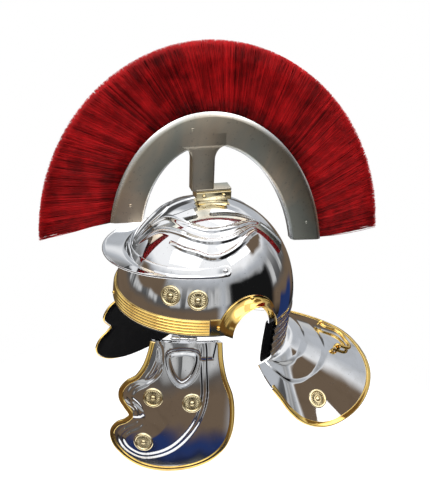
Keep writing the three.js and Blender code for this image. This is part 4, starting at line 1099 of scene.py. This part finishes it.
def build_hair_core():
    """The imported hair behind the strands: a wall from the slot nearly to the tips, waved by sines."""
    share = np.linspace(0.004, 0.996, 260)
    out = np.linspace(0, 1, 12)
    wave = 0.965 + 0.01 * np.sin(share * 190) + 0.008 * np.sin(share * 421)
    root_angle, tip_angle = hair_angles(share)
    root, tip = hair_ends(root_angle, tip_angle, SLOT_DEPTH - GAP, wave)
    way = root[:, None] + (tip - root)[:, None] * out[:, None]
    half = 4.6 * MM + 0.9 * MM * np.sin(PI * out) + 0.25 * MM * np.sin(share * 260)[:, None] * out

    def grid(side):
        return np.concatenate([(side * half)[..., None], way], -1)

    return [shell(grid(1), grid(-1))]


def build_strands(hair, seed, low, high):
    """A layer of strands: three-sided needles from root to tip, leaning to their locks, cut unevenly."""
    draw = np.random.default_rng(seed)
    count = hair.strands
    share = (np.arange(count) + draw.random(count)) / count
    lock = np.round(share * hair.locks) / hair.locks
    lean = hair.gather * (lock - share) * draw.random(count) + draw.normal(0, 0.0016, count)
    root_angle, tip_angle = hair_angles(share)[0], hair_angles(np.clip(share + lean, -0.002, 1.002))[1]
    uneven = draw.normal(0, 0.35, count) - np.abs(draw.normal(0, 0.5, count))
    reach = 1 + uneven * hair.trim / HAIR_LENGTH
    root, tip = hair_ends(root_angle, tip_angle, -GAP + 2 * MM, np.minimum(reach, 1.004))
    side = low + (high - low) * draw.random(count)
    out = np.linspace(0, 1, 5)
    tight = HAIR_ROOT_HALF / HAIR_HALF
    swell = tight + (1 - tight) * smooth(0, 0.12, out) - 0.12 * smooth(0.55, 1, out)
    bow = draw.normal(0, 0.9 * MM, count)[:, None] * np.sin(PI * out)
    path = np.empty((count, 5, 3))
    path[..., 0] = side[:, None] * swell + draw.normal(0, 0.25 * MM, count)[:, None] * out
    flat = root[:, None] + (tip - root)[:, None] * out[:, None]
    along = unit(tip - root)
    path[..., 1] = flat[..., 0] - bow * along[:, None, 1]
    path[..., 2] = flat[..., 1] + bow * along[:, None, 0]
    radius = hair.radius * (0.7 + 0.6 * draw.random(count))[:, None] * np.array([1, 1, 0.95, 0.85, 0.6])
    turn = draw.random(count)[:, None] * 2 * PI + full_turn(3)
    square = np.stack([0 * along[:, 0], -along[:, 1], along[:, 0]], -1)
    spoke = np.cos(turn)[..., None] * [1.0, 0, 0] + np.sin(turn)[..., None] * square[:, None]
    points = path[:, :, None] + radius[..., None, None] * spoke[:, None]
    base = np.arange(count)[:, None, None] * 15
    first, ring = 3 * np.arange(4)[:, None], np.arange(3)
    ahead = (ring + 1) % 3
    cells = np.stack([first + ring, first + ahead, first + 3 + ahead, first + 3 + ring], -1)
    quads = (base + cells.reshape(-1, 4)).reshape(-1, 4)
    ends = (base + np.array([[2, 1, 0], [12, 13, 14]])).reshape(-1, 3)
    # Each strand's shade value is random per strand and per lock, with a broad wave along the crest: partly
    # random tone, partly painted light and shade
    tone = draw.random(hair.locks + 1)[np.round(share * hair.locks).astype(int)]
    broad = 0.5 + 0.5 * np.sin(share * 31 + 1.3 * np.sin(share * 11))
    shade = np.clip(0.45 * draw.random(count) + 0.35 * tone + 0.2 * broad, 0, 1)
    return (points.reshape(-1, 3), [quads, ends]), shade.repeat(15), np.tile(out.repeat(3), count)


# Handle

GUARD_HIGH = guard_point(np.array(PI), 0.0)
GUARD_LOW = guard_point(np.array(PI), 1.0)
GUARD_TAN = (GUARD_HIGH[2] - GUARD_LOW[2]) / (GUARD_LOW[1] - GUARD_HIGH[1])
GUARD_TILT = np.arctan(GUARD_TAN)
PIVOT = (GUARD_HIGH[2] - (HANDLE_PLACE - GUARD_HIGH[1]) * GUARD_TAN
         + (HANDLE_RADIUS + HANDLE_PLAY) / np.cos(GUARD_TILT))


def on_guard(points):
    """Points of the handle's own frame turned down to the guard's slope and set on its pivot line."""
    c, s = np.cos(GUARD_TILT), np.sin(GUARD_TILT)
    x, y, z = np.moveaxis(points, -1, 0)
    return np.stack([x, y * c + z * s + HANDLE_PLACE, z * c - y * s + PIVOT], -1)


def build_handle():
    """The bail: a round bar along a curve from one staple to the other, thinner towards its ends."""
    half, reach = HANDLE_HALF, HANDLE_REACH
    side = [(-half - KNOB, 0, 0), (-half + 3 * MM, 0, 0), (-half + 6 * MM, 4 * MM, 0),
            (-half + 7 * MM, reach - 7 * MM, 0), (-half + 14 * MM, reach, 0)]
    share = np.linspace(0, 1, 140)
    path = spline([*side, (0, reach + 1 * MM, 0), *[(-x, y, z) for x, y, z in side[::-1]]], share)
    thick = HANDLE_RADIUS * (0.86 + 0.14 * np.sin(PI * share) ** 2)
    return [swept(on_guard(bar(path, (0, 0, 1), thick, 18)))]


def build_staple(side):
    """A wire staple: a half circle over the bail on two straight legs."""
    inner = HANDLE_RADIUS + HANDLE_PLAY + WIRE
    foot = -(HANDLE_RADIUS + 0.5 * MM)
    turn = np.linspace(0, PI, 20)
    arch = np.stack([0 * turn, -inner * np.cos(turn), inner * np.sin(turn)], -1)
    leg = np.array([(0, -inner, foot), (0, -inner, foot / 2)])
    path = np.concatenate([leg, arch, leg[::-1] * [1, -1, 1]])
    return [swept(on_guard(bar(path, (1, 0, 0), WIRE, 14, WIRE_FLAT) + [side * HANDLE_HALF, 0, 0]))]


# Finishes

STEEL_HAZE = (0.66, 0.66, 0.66)
HINGE_HAZE = (0.5, 0.48, 0.45)
BRASS_HAZE = (0.60, 0.36, 0.11)
PALE_BRASS = (0.93, 0.80, 0.50)
PALE_BRASS_HAZE = (0.66, 0.50, 0.24)
# Near-white steel painted on the crest's bevels as a highlight
HIGHLIGHT_STEEL = (0.93, 0.94, 0.96)


class Value:
    """A shader socket whose arithmetic adds Math nodes."""

    def __init__(self, graph, socket):
        self.graph, self.socket = graph, socket

    def math(self, operation, *others):
        values = dict(enumerate([self, *others]))
        return self.graph.node("ShaderNodeMath", {"operation": operation}, values)

    def __add__(self, other):
        return self.math("ADD", other)

    def __sub__(self, other):
        return self.math("SUBTRACT", other)

    def __mul__(self, other):
        return self.math("MULTIPLY", other)

    def __rsub__(self, other):
        return self * -1 + other

    __radd__ = __add__
    __rmul__ = __mul__

    def step(self, low, high):
        """Zero below low, one above high and smooth between them."""
        values = {"Value": self, "From Min": low, "From Max": high}
        return self.graph.node("ShaderNodeMapRange", {"interpolation_type": "SMOOTHSTEP"}, values)


class Graph:
    """A node tree that is filled by one method."""

    def __init__(self, tree):
        self.tree = tree
        tree.nodes.clear()

    def node(self, kind, settings=None, values=None, output=0):
        """Adds a node, sets what it is, then its sockets' values or links, and gives one of its outputs."""
        made = self.tree.nodes.new(kind)
        for name, setting in (settings or {}).items():
            setattr(made, name, setting)
        for key, value in (values or {}).items():
            if isinstance(value, Value):
                self.tree.links.new(value.socket, made.inputs[key])
            else:
                made.inputs[key].default_value = value
        return Value(self, made.outputs[output]) if made.outputs else None

    def mix(self, share, first, second):
        """A colour between two colours."""
        first, second = (v if isinstance(v, Value) else (*tuple(v)[:3], 1) for v in (first, second))
        return self.node("ShaderNodeMix", {"data_type": "RGBA"}, {0: share, 6: first, 7: second}, 2)

    def ramp(self, value, stops):
        """A colour read from stops of place and colour."""
        made = self.node("ShaderNodeValToRGB", None, {"Fac": value})
        elements = made.socket.node.color_ramp.elements
        for place, colour in stops[1:-1]:
            elements.new(place)
        for stop, (place, colour) in zip(elements, stops):
            stop.position, stop.color = place, (*colour, 1)
        return made

    def noise(self, place, scale, detail=2.0, distortion=0.0, stretch=None):
        """Noise over places, stretched along the axes first."""
        if stretch:
            place = self.node("ShaderNodeMapping", None, {"Vector": place, "Scale": stretch})
        values = {"Vector": place, "Scale": scale, "Detail": detail, "Distortion": distortion}
        return self.node("ShaderNodeTexNoise", None, values)

    def place(self):
        """Object coordinates."""
        return self.node("ShaderNodeTexCoord", output="Object")

    def bump(self, height, distance, strength=1.0, normal=None):
        """A normal bent by a height."""
        values = {"Height": height, "Distance": distance, "Strength": strength}
        if normal:
            values["Normal"] = normal
        return self.node("ShaderNodeBump", None, values)

    def surface(self, **values):
        """The principled surface that ends the tree; underscores in names stand for spaces."""
        named = {name.replace("_", " "): value for name, value in values.items()}
        shade = self.node("ShaderNodeBsdfPrincipled", None, named)
        self.node("ShaderNodeOutputMaterial", None, {"Surface": shade})


def material(name):
    """A new material's graph."""
    made = bpy.data.materials.new(FINISH + name)
    made.use_nodes = True
    return Graph(made.node_tree)


def polished_metal(name, colour, tarnish, roughness, wave):
    """Polished metal: slow hand-beaten waves, wiping marks in the roughness, faint haze and small pits."""
    g = material(name)
    place = g.place()
    haze = g.noise(place, 38, 5, 0.6)
    wipes = g.noise(place, 60, 4, 0.3, (1.0, 1.0, 7.0))
    slow = g.noise(place, 11, 1.5)
    fine = g.noise(place, 900, 2, 0, (1.0, 1.0, 0.12))
    pits = g.noise(place, 420, 3).step(0.66, 0.74)
    cloud = haze.step(0.42, 0.75)
    # A rosette's hollows, between its rays and in the groove round its middle, are mixed darker and made
    # rougher
    age = g.node("ShaderNodeAttribute", {"attribute_name": "age"}, output="Fac")
    base = g.mix(cloud * 0.7, colour, tarnish)
    base = g.mix(pits * 0.45, base, [c * 0.35 for c in tarnish])
    base = g.mix(age * 0.9, base, [c * 0.12 for c in tarnish])
    rough = wipes.step(0.35, 0.8) * 0.03 + cloud * 0.02 + pits * 0.12 + age * 0.35 + roughness
    low = g.bump(slow, wave)
    g.surface(Base_Color=base, Metallic=1.0, Roughness=rough, Normal=g.bump(fine, 0.000008, 0.3, low))


def brushed_metal(name, colour, roughness):
    """Satin metal: fine brushing across the plate, broad grey clouds, darker specks and a painted highlight
    on the arch's bevels, near-white and smoother.
    """
    g = material(name)
    place = g.place()
    brushing = g.noise(place, 520, 3, 0, (1.0, 0.06, 1.0))
    cloud = g.noise(place, 9, 4, 0.8).step(0.36, 0.66)
    specks = g.noise(place, 300, 2).step(0.64, 0.72)
    bevel_highlight = g.node("ShaderNodeAttribute", {"attribute_name": "bevel_highlight"}, output="Fac")
    red, green, blue = colour
    base = g.mix(cloud, (red * 0.66, green * 0.78, blue * 0.84), (red * 1.18, green * 1.12, blue * 1.04))
    base = g.mix(specks * 0.4, base, [c * 0.4 for c in colour])
    # Painted highlight: the arch's bevels are mixed towards near-white steel
    base = g.mix(bevel_highlight * 0.85, base, HIGHLIGHT_STEEL)
    rough = brushing * 0.14 + cloud * -0.06 - bevel_highlight * 0.12 + roughness
    g.surface(Base_Color=base, Metallic=1.0, Roughness=rough, Normal=g.bump(brushing, 0.00003, 0.6))


def horsehair(name, shaded_red, bright):
    """Dyed horsehair: each strand mixed from the shaded red to the lit red by its own shade value, partly
    random tone and partly painted light and shade, darker at its root and paler at the cut tip.
    """
    g = material(name)
    shade = g.node("ShaderNodeAttribute", {"attribute_name": "shade"}, output="Fac")
    along = g.node("ShaderNodeAttribute", {"attribute_name": "along"}, output="Fac")
    streak = g.noise(g.place(), 70, 3).step(0.3, 0.75)
    tone = shade * 0.72 + streak * 0.28 + along.step(0.0, 0.3) * 0.14 - 0.12
    # Painted light and shade: the strands run from the shaded red to the lit red
    base = g.mix(tone.step(0.02, 0.98), shaded_red, bright)
    base = g.mix(along.step(0.93, 1.0) * 0.35, base, [min(1, c * 1.5 + 0.03) for c in bright])
    g.surface(Base_Color=base, Roughness=0.46, Specular_IOR_Level=0.15)


def black_lining(name, colour):
    """Black leather: a pebbled grain, soft creases and slightly rubbed high places."""
    g = material(name)
    place = g.place()
    grain = g.node("ShaderNodeTexVoronoi", None, {"Vector": place, "Scale": 620.0})
    crease = g.noise(place, 45, 4, 1.2)
    base = g.mix(crease.step(0.5, 0.8) * 0.6, colour, [c * 2.4 + 0.0005 for c in colour])
    normal = g.bump(grain, 0.00018, 0.7, g.bump(crease, 0.0008, 0.5))
    g.surface(Base_Color=base, Roughness=crease * 0.25 + 0.5, Specular_IOR_Level=0.05, Normal=normal)


# Operators

class HELMET_OT_finishes(bpy.types.Operator):
    """Makes the materials of the helmet"""
    bl_idname = "helmet.finishes"
    bl_label = "Finishes"

    def execute(self, context):
        finish, hair = context.scene.helmet_finish, context.scene.helmet_hair
        worked = [c * 0.8 for c in finish.steel]
        polished_metal("polished_steel", finish.steel, STEEL_HAZE, finish.polish, 0.0009)
        polished_metal("hinge_steel", worked, HINGE_HAZE, 0.16, 0.0002)
        polished_metal("brass", finish.brass, BRASS_HAZE, 0.08, 0.0006)
        polished_metal("pale_brass", PALE_BRASS, PALE_BRASS_HAZE, 0.13, 0.0003)
        brushed_metal("satin_steel", finish.satin, finish.brushed)
        horsehair("horsehair", hair.shaded_red, hair.bright)
        # A darker copy of the horsehair for the core: painted shade of the hair deep inside the plume
        horsehair("shaded_hair_core", [c * 0.5 for c in hair.shaded_red], [c * 0.3 for c in hair.bright])
        black_lining("black_lining", finish.lining)
        return {"FINISHED"}


class HELMET_OT_bowl(bpy.types.Operator):
    """Builds the bowl with its ridges, ribbed nape and neck guard, and the pad inside the nape"""
    bl_idname = "helmet.bowl"
    bl_label = "Bowl and lining"

    def execute(self, context):
        bowl = build_bowl(context.scene.helmet_relief)
        make("steel_bowl", bowl, "helmet", "polished_steel", "polished_steel", "bowl", sharp=70)
        make("nape_pad", build_nape_lining(), "helmet", "black_lining", "black_lining", "nape_lining")
        return {"FINISHED"}


class HELMET_OT_trims(bpy.types.Operator):
    """Builds the neck trim, the brow band and the two ear guards"""
    bl_idname = "helmet.trims"
    bl_label = "Brass trims"

    def execute(self, context):
        relief = context.scene.helmet_relief
        make("neck_edging", build_neck_trim(), "helmet", "brass", "brass", "neck_trim")
        make("ribbed_band", build_brow_band(relief), "helmet", "brass", "brass", "brow_band")
        guard = build_ear_guard()
        make("ear_arch_left", guard, "helmet", "brass", "brass", "ear_guard_left")
        other = [mirrored(part) for part in guard]
        make("ear_arch_right", other, "helmet", "brass", "brass", "ear_guard_right")
        return {"FINISHED"}


class HELMET_OT_visor(bpy.types.Operator):
    """Builds the brow guard across the forehead"""
    bl_idname = "helmet.visor"
    bl_label = "Brow guard"

    def execute(self, context):
        make("visor", build_visor(), "helmet", "polished_steel", "polished_steel", "brow_guard")
        return {"FINISHED"}


class HELMET_OT_rosettes(bpy.types.Operator):
    """Sets the rosettes on the bowl and the neck guard"""
    bl_idname = "helmet.rosettes"
    bl_label = "Rosettes"

    def execute(self, context):
        relief = context.scene.helmet_relief
        built = {}
        for number, (along, height) in enumerate(BOWL_ROSETTES, 1):
            elevation = elevation_at(height)
            centre = skull_point(azimuth_at(along, elevation), elevation, GAP)
            built[f"bowl_rosette_{{}}_{number}"] = rosette(centre, skull_normal(centre), relief, BOWL_BEND)
        azimuth = np.array(NAPE_AZIMUTH + (PI - NAPE_AZIMUTH) * NECK_ROSETTE[0])
        centre = guard_point(azimuth, NECK_ROSETTE[1], GAP)
        built["neck_rosette_{}"] = rosette(centre, guard_normal(azimuth), relief, NECK_BEND)
        for pattern, parts in built.items():
            for side, copy in (("left", parts), ("right", [mirrored(part) for part in parts])):
                node = pattern.format(side)
                make(f"rayed_{node}", copy, "helmet", "brass", "pale_brass", node, tones=rosette_hollows(relief))
        return {"FINISHED"}


class HELMET_OT_cheeks(bpy.types.Operator):
    """Builds both cheek guards with their hinges, edging, lining and rosettes"""
    bl_idname = "helmet.cheeks"
    bl_label = "Cheek guards"

    def execute(self, context):
        relief = context.scene.helmet_relief
        own = {
            "cheek_guard": (build_cheek_plate(relief), "polished_steel", "polished_steel"),
            "cheek_trim": (build_cheek_trim(), "brass", "brass"),
            "cheek_lining": (build_cheek_lining(), "black_lining", "black_lining"),
        }
        fixed = {
            "cheek_hinge": (build_cheek_hinge(), "polished_steel", "hinge_steel"),
            "cheek_pin": (build_cheek_pin(), "polished_steel", "hinge_steel"),
        }
        for number, shares in enumerate(CHEEK_ROSETTES, 1):
            u, z = cheek_place(shares)
            n, along, up = cheek_normal(u, z)
            height = cheek_swell(u, z) + cheek_relief(np.array(u), np.array(z), relief)
            normal = n * HINGE_OUT + along * HINGE_ALONG + [0, 0, up]
            parts = rosette(on_hinge(height, u, z), normal, relief, CHEEK_BEND)
            own[f"cheek_rosette_{{}}_{number}"] = (parts, "brass", "pale_brass")
        for side in ("left", "right"):
            for rides, group in ((f"cheek_{side}", own), ("helmet", fixed)):
                for name, (parts, slot, finish) in group.items():
                    node = name.format(side) if "{" in name else f"{name}_{side}"
                    copy = parts if side == "left" else [mirrored(part) for part in parts]
                    tones = rosette_hollows(relief) if "rosette" in node else None
                    make(f"wrought_{node}", copy, rides, slot, finish, node, sharp=60, tones=tones)
        return {"FINISHED"}


class HELMET_OT_crest(bpy.types.Operator):
    """Builds the crest box with its post and the brass mount on the crown"""
    bl_idname = "helmet.crest"
    bl_label = "Crest box"

    def execute(self, context):
        parts, bevel_highlight = build_crest_box()
        make("crest_arch", parts, "helmet", "satin_steel", "satin_steel", "crest_box", sharp=30, tones=bevel_highlight)
        make("crown_mount", build_fixture(), "helmet", "brass", "pale_brass", "crest_fixture", sharp=30)
        return {"FINISHED"}


class HELMET_OT_hair(bpy.types.Operator):
    """Grows the horsehair of the crest: a packed core and three layers of strands"""
    bl_idname = "helmet.hair"
    bl_label = "Horsehair"

    def execute(self, context):
        hair = context.scene.helmet_hair
        # The core wears the darker horsehair, painted shade inside the plume
        make("shaded_hair_core", build_hair_core(), "helmet", "horsehair", "shaded_hair_core", "plume")
        for seed, (name, (low, high)) in enumerate(HAIR_LAYERS.items(), HAIR_SEED):
            part, shade, along = build_strands(hair, seed, low * HAIR_HALF, high * HAIR_HALF)
            make(name, [part], "helmet", "horsehair", "horsehair", "plume", sharp=0, tidy=False,
                 tones={"shade": shade, "along": along})
        return {"FINISHED"}


class HELMET_OT_handle(bpy.types.Operator):
    """Builds the carrying handle and its two staples"""
    bl_idname = "helmet.handle"
    bl_label = "Carrying handle"

    def execute(self, context):
        make("bail", build_handle(), "handle", "brass", "brass", "carrying_handle")
        for side, name in ((1, "left"), (-1, "right")):
            node = f"handle_staple_{name}"
            make(f"wire_staple_{name}", build_staple(side), "helmet", "brass", "brass", node)
        return {"FINISHED"}


# Tones of the studio's surroundings
WHITE = (1.2, 1.2, 1.2)
PALE = (0.55, 0.57, 0.60)
GREY = (0.25, 0.25, 0.25)
DARK = (0.01, 0.01, 0.01)
WARM = (0.17, 0.12, 0.08)
COOL = (0.02, 0.04, 0.14)

# Heights from straight down at -1 to straight up at 1, with the tone at each
SKY = [
    (-1.0, PALE), (-0.62, GREY), (-0.50, DARK), (-0.38, WARM), (-0.22, WARM), (-0.10, (0.1, 0.1, 0.1)),
    (0.05, (0.15, 0.15, 0.15)), (0.20, (0.3, 0.3, 0.3)), (0.34, PALE), (0.46, (1.1, 1.1, 1.1)),
    (1.0, WHITE),
]
SKY_WAVER = 0.16
STREAK = (0.72, 0.72, 0.71)

# Cards round the helmet: lowest and highest height, middle azimuth, half-width and tone
CARDS = [
    (-0.45, 0.50, 1.77, 0.06, PALE),
    (-0.55, 0.22, 2.40, 0.50, DARK),
    (-0.50, -0.41, 1.25, 0.50, COOL),
    (-0.62, -0.32, -2.90, 0.30, COOL),
    (0.02, 0.34, -2.45, 0.50, PALE),
    (0.44, 0.80, 3.00, 0.30, WARM),
    (0.44, 0.80, -3.10, 0.25, WARM),
    (0.00, 0.32, 0.15, 0.40, WARM),
    (0.20, 0.46, -1.25, 0.40, (0.08, 0.08, 0.08)),
    (0.46, 0.70, -1.85, 0.50, PALE),
]

# Lamps: name, place, size and power
LAMPS = [
    ("key", (1.3, -1.2, 2.4), 2.2, 20),
    ("fill", (1.3, 1.4, 2.2), 1.8, 13),
    ("back", (-1.3, 0.9, 2.8), 2.2, 18),
]


def build_world(strength):
    """White surroundings with darker cards near the horizon, which the polished steel shows as streaks."""
    world = bpy.data.worlds.new("studio")
    bpy.context.scene.world = world
    world.use_nodes = True
    g = Graph(world.node_tree)
    direction = g.node("ShaderNodeTexCoord", output="Generated")
    parts = g.node("ShaderNodeSeparateXYZ", None, {0: direction})
    x, y, z = (Value(g, socket) for socket in parts.socket.node.outputs)
    azimuth = x.math("ARCTAN2", y * -1)
    waver = g.noise(direction, 3.2, 2) - 0.5
    height = z + waver * SKY_WAVER
    colour = g.ramp(height * 0.5 + 0.5, [((place + 1) / 2, tone) for place, tone in SKY])
    streak = g.noise(direction, 5.5, 3, 0, (1.0, 1.0, 0.08)).step(0.44, 0.60)
    band = height.step(-0.15, -0.07) * (1 - height.step(0.16, 0.30))
    colour = g.mix(band * streak * 0.85, colour, STREAK)
    for low, high, middle, half, card in CARDS:
        away = (azimuth - middle).math("ABSOLUTE")
        mask = (height.step(low - 0.04, low + 0.04) * (1 - height.step(high - 0.05, high + 0.05))
                * (1 - away.step(half - 0.08, half + 0.08)))
        colour = g.mix(mask, colour, card)
    seen = g.node("ShaderNodeLightPath", output="Is Camera Ray")
    colour = g.mix(seen, colour, (1.0, 1.0, 1.0))
    shade = g.node("ShaderNodeBackground", None, {"Color": colour, "Strength": strength})
    g.node("ShaderNodeOutputWorld", None, {"Surface": shade})


def soft_light(name, place, size, power):
    """A large square lamp that faces the crown."""
    lamp = bpy.data.lights.new(name, "AREA")
    lamp.shape, lamp.size, lamp.energy = "SQUARE", size, power
    item = bpy.data.objects.new(name, lamp)
    item.location = place
    item.rotation_euler = (-Vector(place)).to_track_quat("-Z", "Y").to_euler()
    bpy.context.scene.collection.objects.link(item)


def lay_floor(height, reach):
    """A pale round floor: rings of points from its middle to its reach, with a thin edge."""
    radius = reach * np.linspace(0, 1, 24)
    turn = full_turn(96)[:, None]
    top = np.stack(np.broadcast_arrays(radius * np.cos(turn), radius * np.sin(turn), height), -1)
    points, faces = joined([shell(top, top - [0, 0, FLOOR_DEPTH], wrapped=True)])
    mesh = bpy.data.meshes.new("floor")
    mesh.from_pydata(points, [], faces)
    merge(mesh, 1e-5)
    g = material("pale_floor")
    tone = g.mix(g.noise(g.place(), 4, 3), (0.90, 0.90, 0.90), (0.93, 0.93, 0.93))
    g.surface(Base_Color=tone, Roughness=0.9, Emission_Color=(0.9, 0.9, 0.9, 1), Emission_Strength=0.25)
    mesh.materials.append(bpy.data.materials[FINISH + "pale_floor"])
    floor = bpy.data.objects.new("floor", mesh)
    bpy.context.scene.collection.objects.link(floor)


def place_camera(stage):
    """The camera: set back from the crown along two angles, shifted across the view and rolled about it."""
    cos, sin = np.cos, np.sin
    flat = cos(stage.rise)
    back = np.array([cos(stage.turn) * flat, -sin(stage.turn) * flat, sin(stage.rise)])
    level = np.array([sin(stage.turn), cos(stage.turn), 0])
    upward = np.cross(back, level)
    right = cos(stage.roll) * level + sin(stage.roll) * upward
    up = cos(stage.roll) * upward - sin(stage.roll) * level
    eye = stage.distance * back + CAMERA_SHIFT[0] * right + CAMERA_SHIFT[1] * up - [0, 0, RIM]
    lens = bpy.data.cameras.new("camera")
    lens.sensor_fit, lens.sensor_height, lens.lens = "VERTICAL", SENSOR, stage.lens
    camera = bpy.data.objects.new("camera", lens)
    bpy.context.scene.collection.objects.link(camera)
    axes = np.eye(4)
    axes[:3] = np.stack([right, up, back, eye], -1)
    camera.matrix_world = Matrix(axes.tolist())
    bpy.context.scene.camera = camera


class HELMET_OT_stage(bpy.types.Operator):
    """Lays the floor, sets the light and places the camera"""
    bl_idname = "helmet.stage"
    bl_label = "Stage"

    def execute(self, context):
        stage = context.scene.helmet_stage
        lay_floor(CAD_BOUNDS[0].z - stage.floor_drop, stage.floor_reach)
        build_world(stage.light)
        for lamp in LAMPS:
            soft_light(*lamp)
        place_camera(stage)
        context.scene.view_settings.view_transform = "Standard"
        return {"FINISHED"}


class HELMET_PT_panel(bpy.types.Panel):
    """Lists the pieces of the helmet"""
    bl_label = "Helmet"
    bl_space_type = "VIEW_3D"
    bl_region_type = "UI"
    bl_category = "Helmet"

    def draw(self, context):
        for name, group in SETTINGS.items():
            settings = getattr(context.scene, name)
            for label in group.__annotations__:
                self.layout.prop(settings, label)
        for operator in OPERATORS:
            self.layout.operator(operator.bl_idname)


OPERATORS = [HELMET_OT_finishes, HELMET_OT_bowl, HELMET_OT_trims, HELMET_OT_visor, HELMET_OT_rosettes,
             HELMET_OT_cheeks, HELMET_OT_crest, HELMET_OT_hair, HELMET_OT_handle, HELMET_OT_stage]
CLASSES = [*SETTINGS.values(), *OPERATORS, HELMET_PT_panel]


def register():
    for item in CLASSES:
        bpy.utils.register_class(item)
    for name, group in SETTINGS.items():
        setattr(bpy.types.Scene, name, PointerProperty(type=group))


def unregister():
    for name in SETTINGS:
        delattr(bpy.types.Scene, name)
    for item in reversed(CLASSES):
        bpy.utils.unregister_class(item)


def main():
    """Registers the add-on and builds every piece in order."""
    register()
    for operator in OPERATORS:
        family, name = operator.bl_idname.split(".")
        getattr(getattr(bpy.ops, family), name)()


if __name__ == "__main__":
    main()
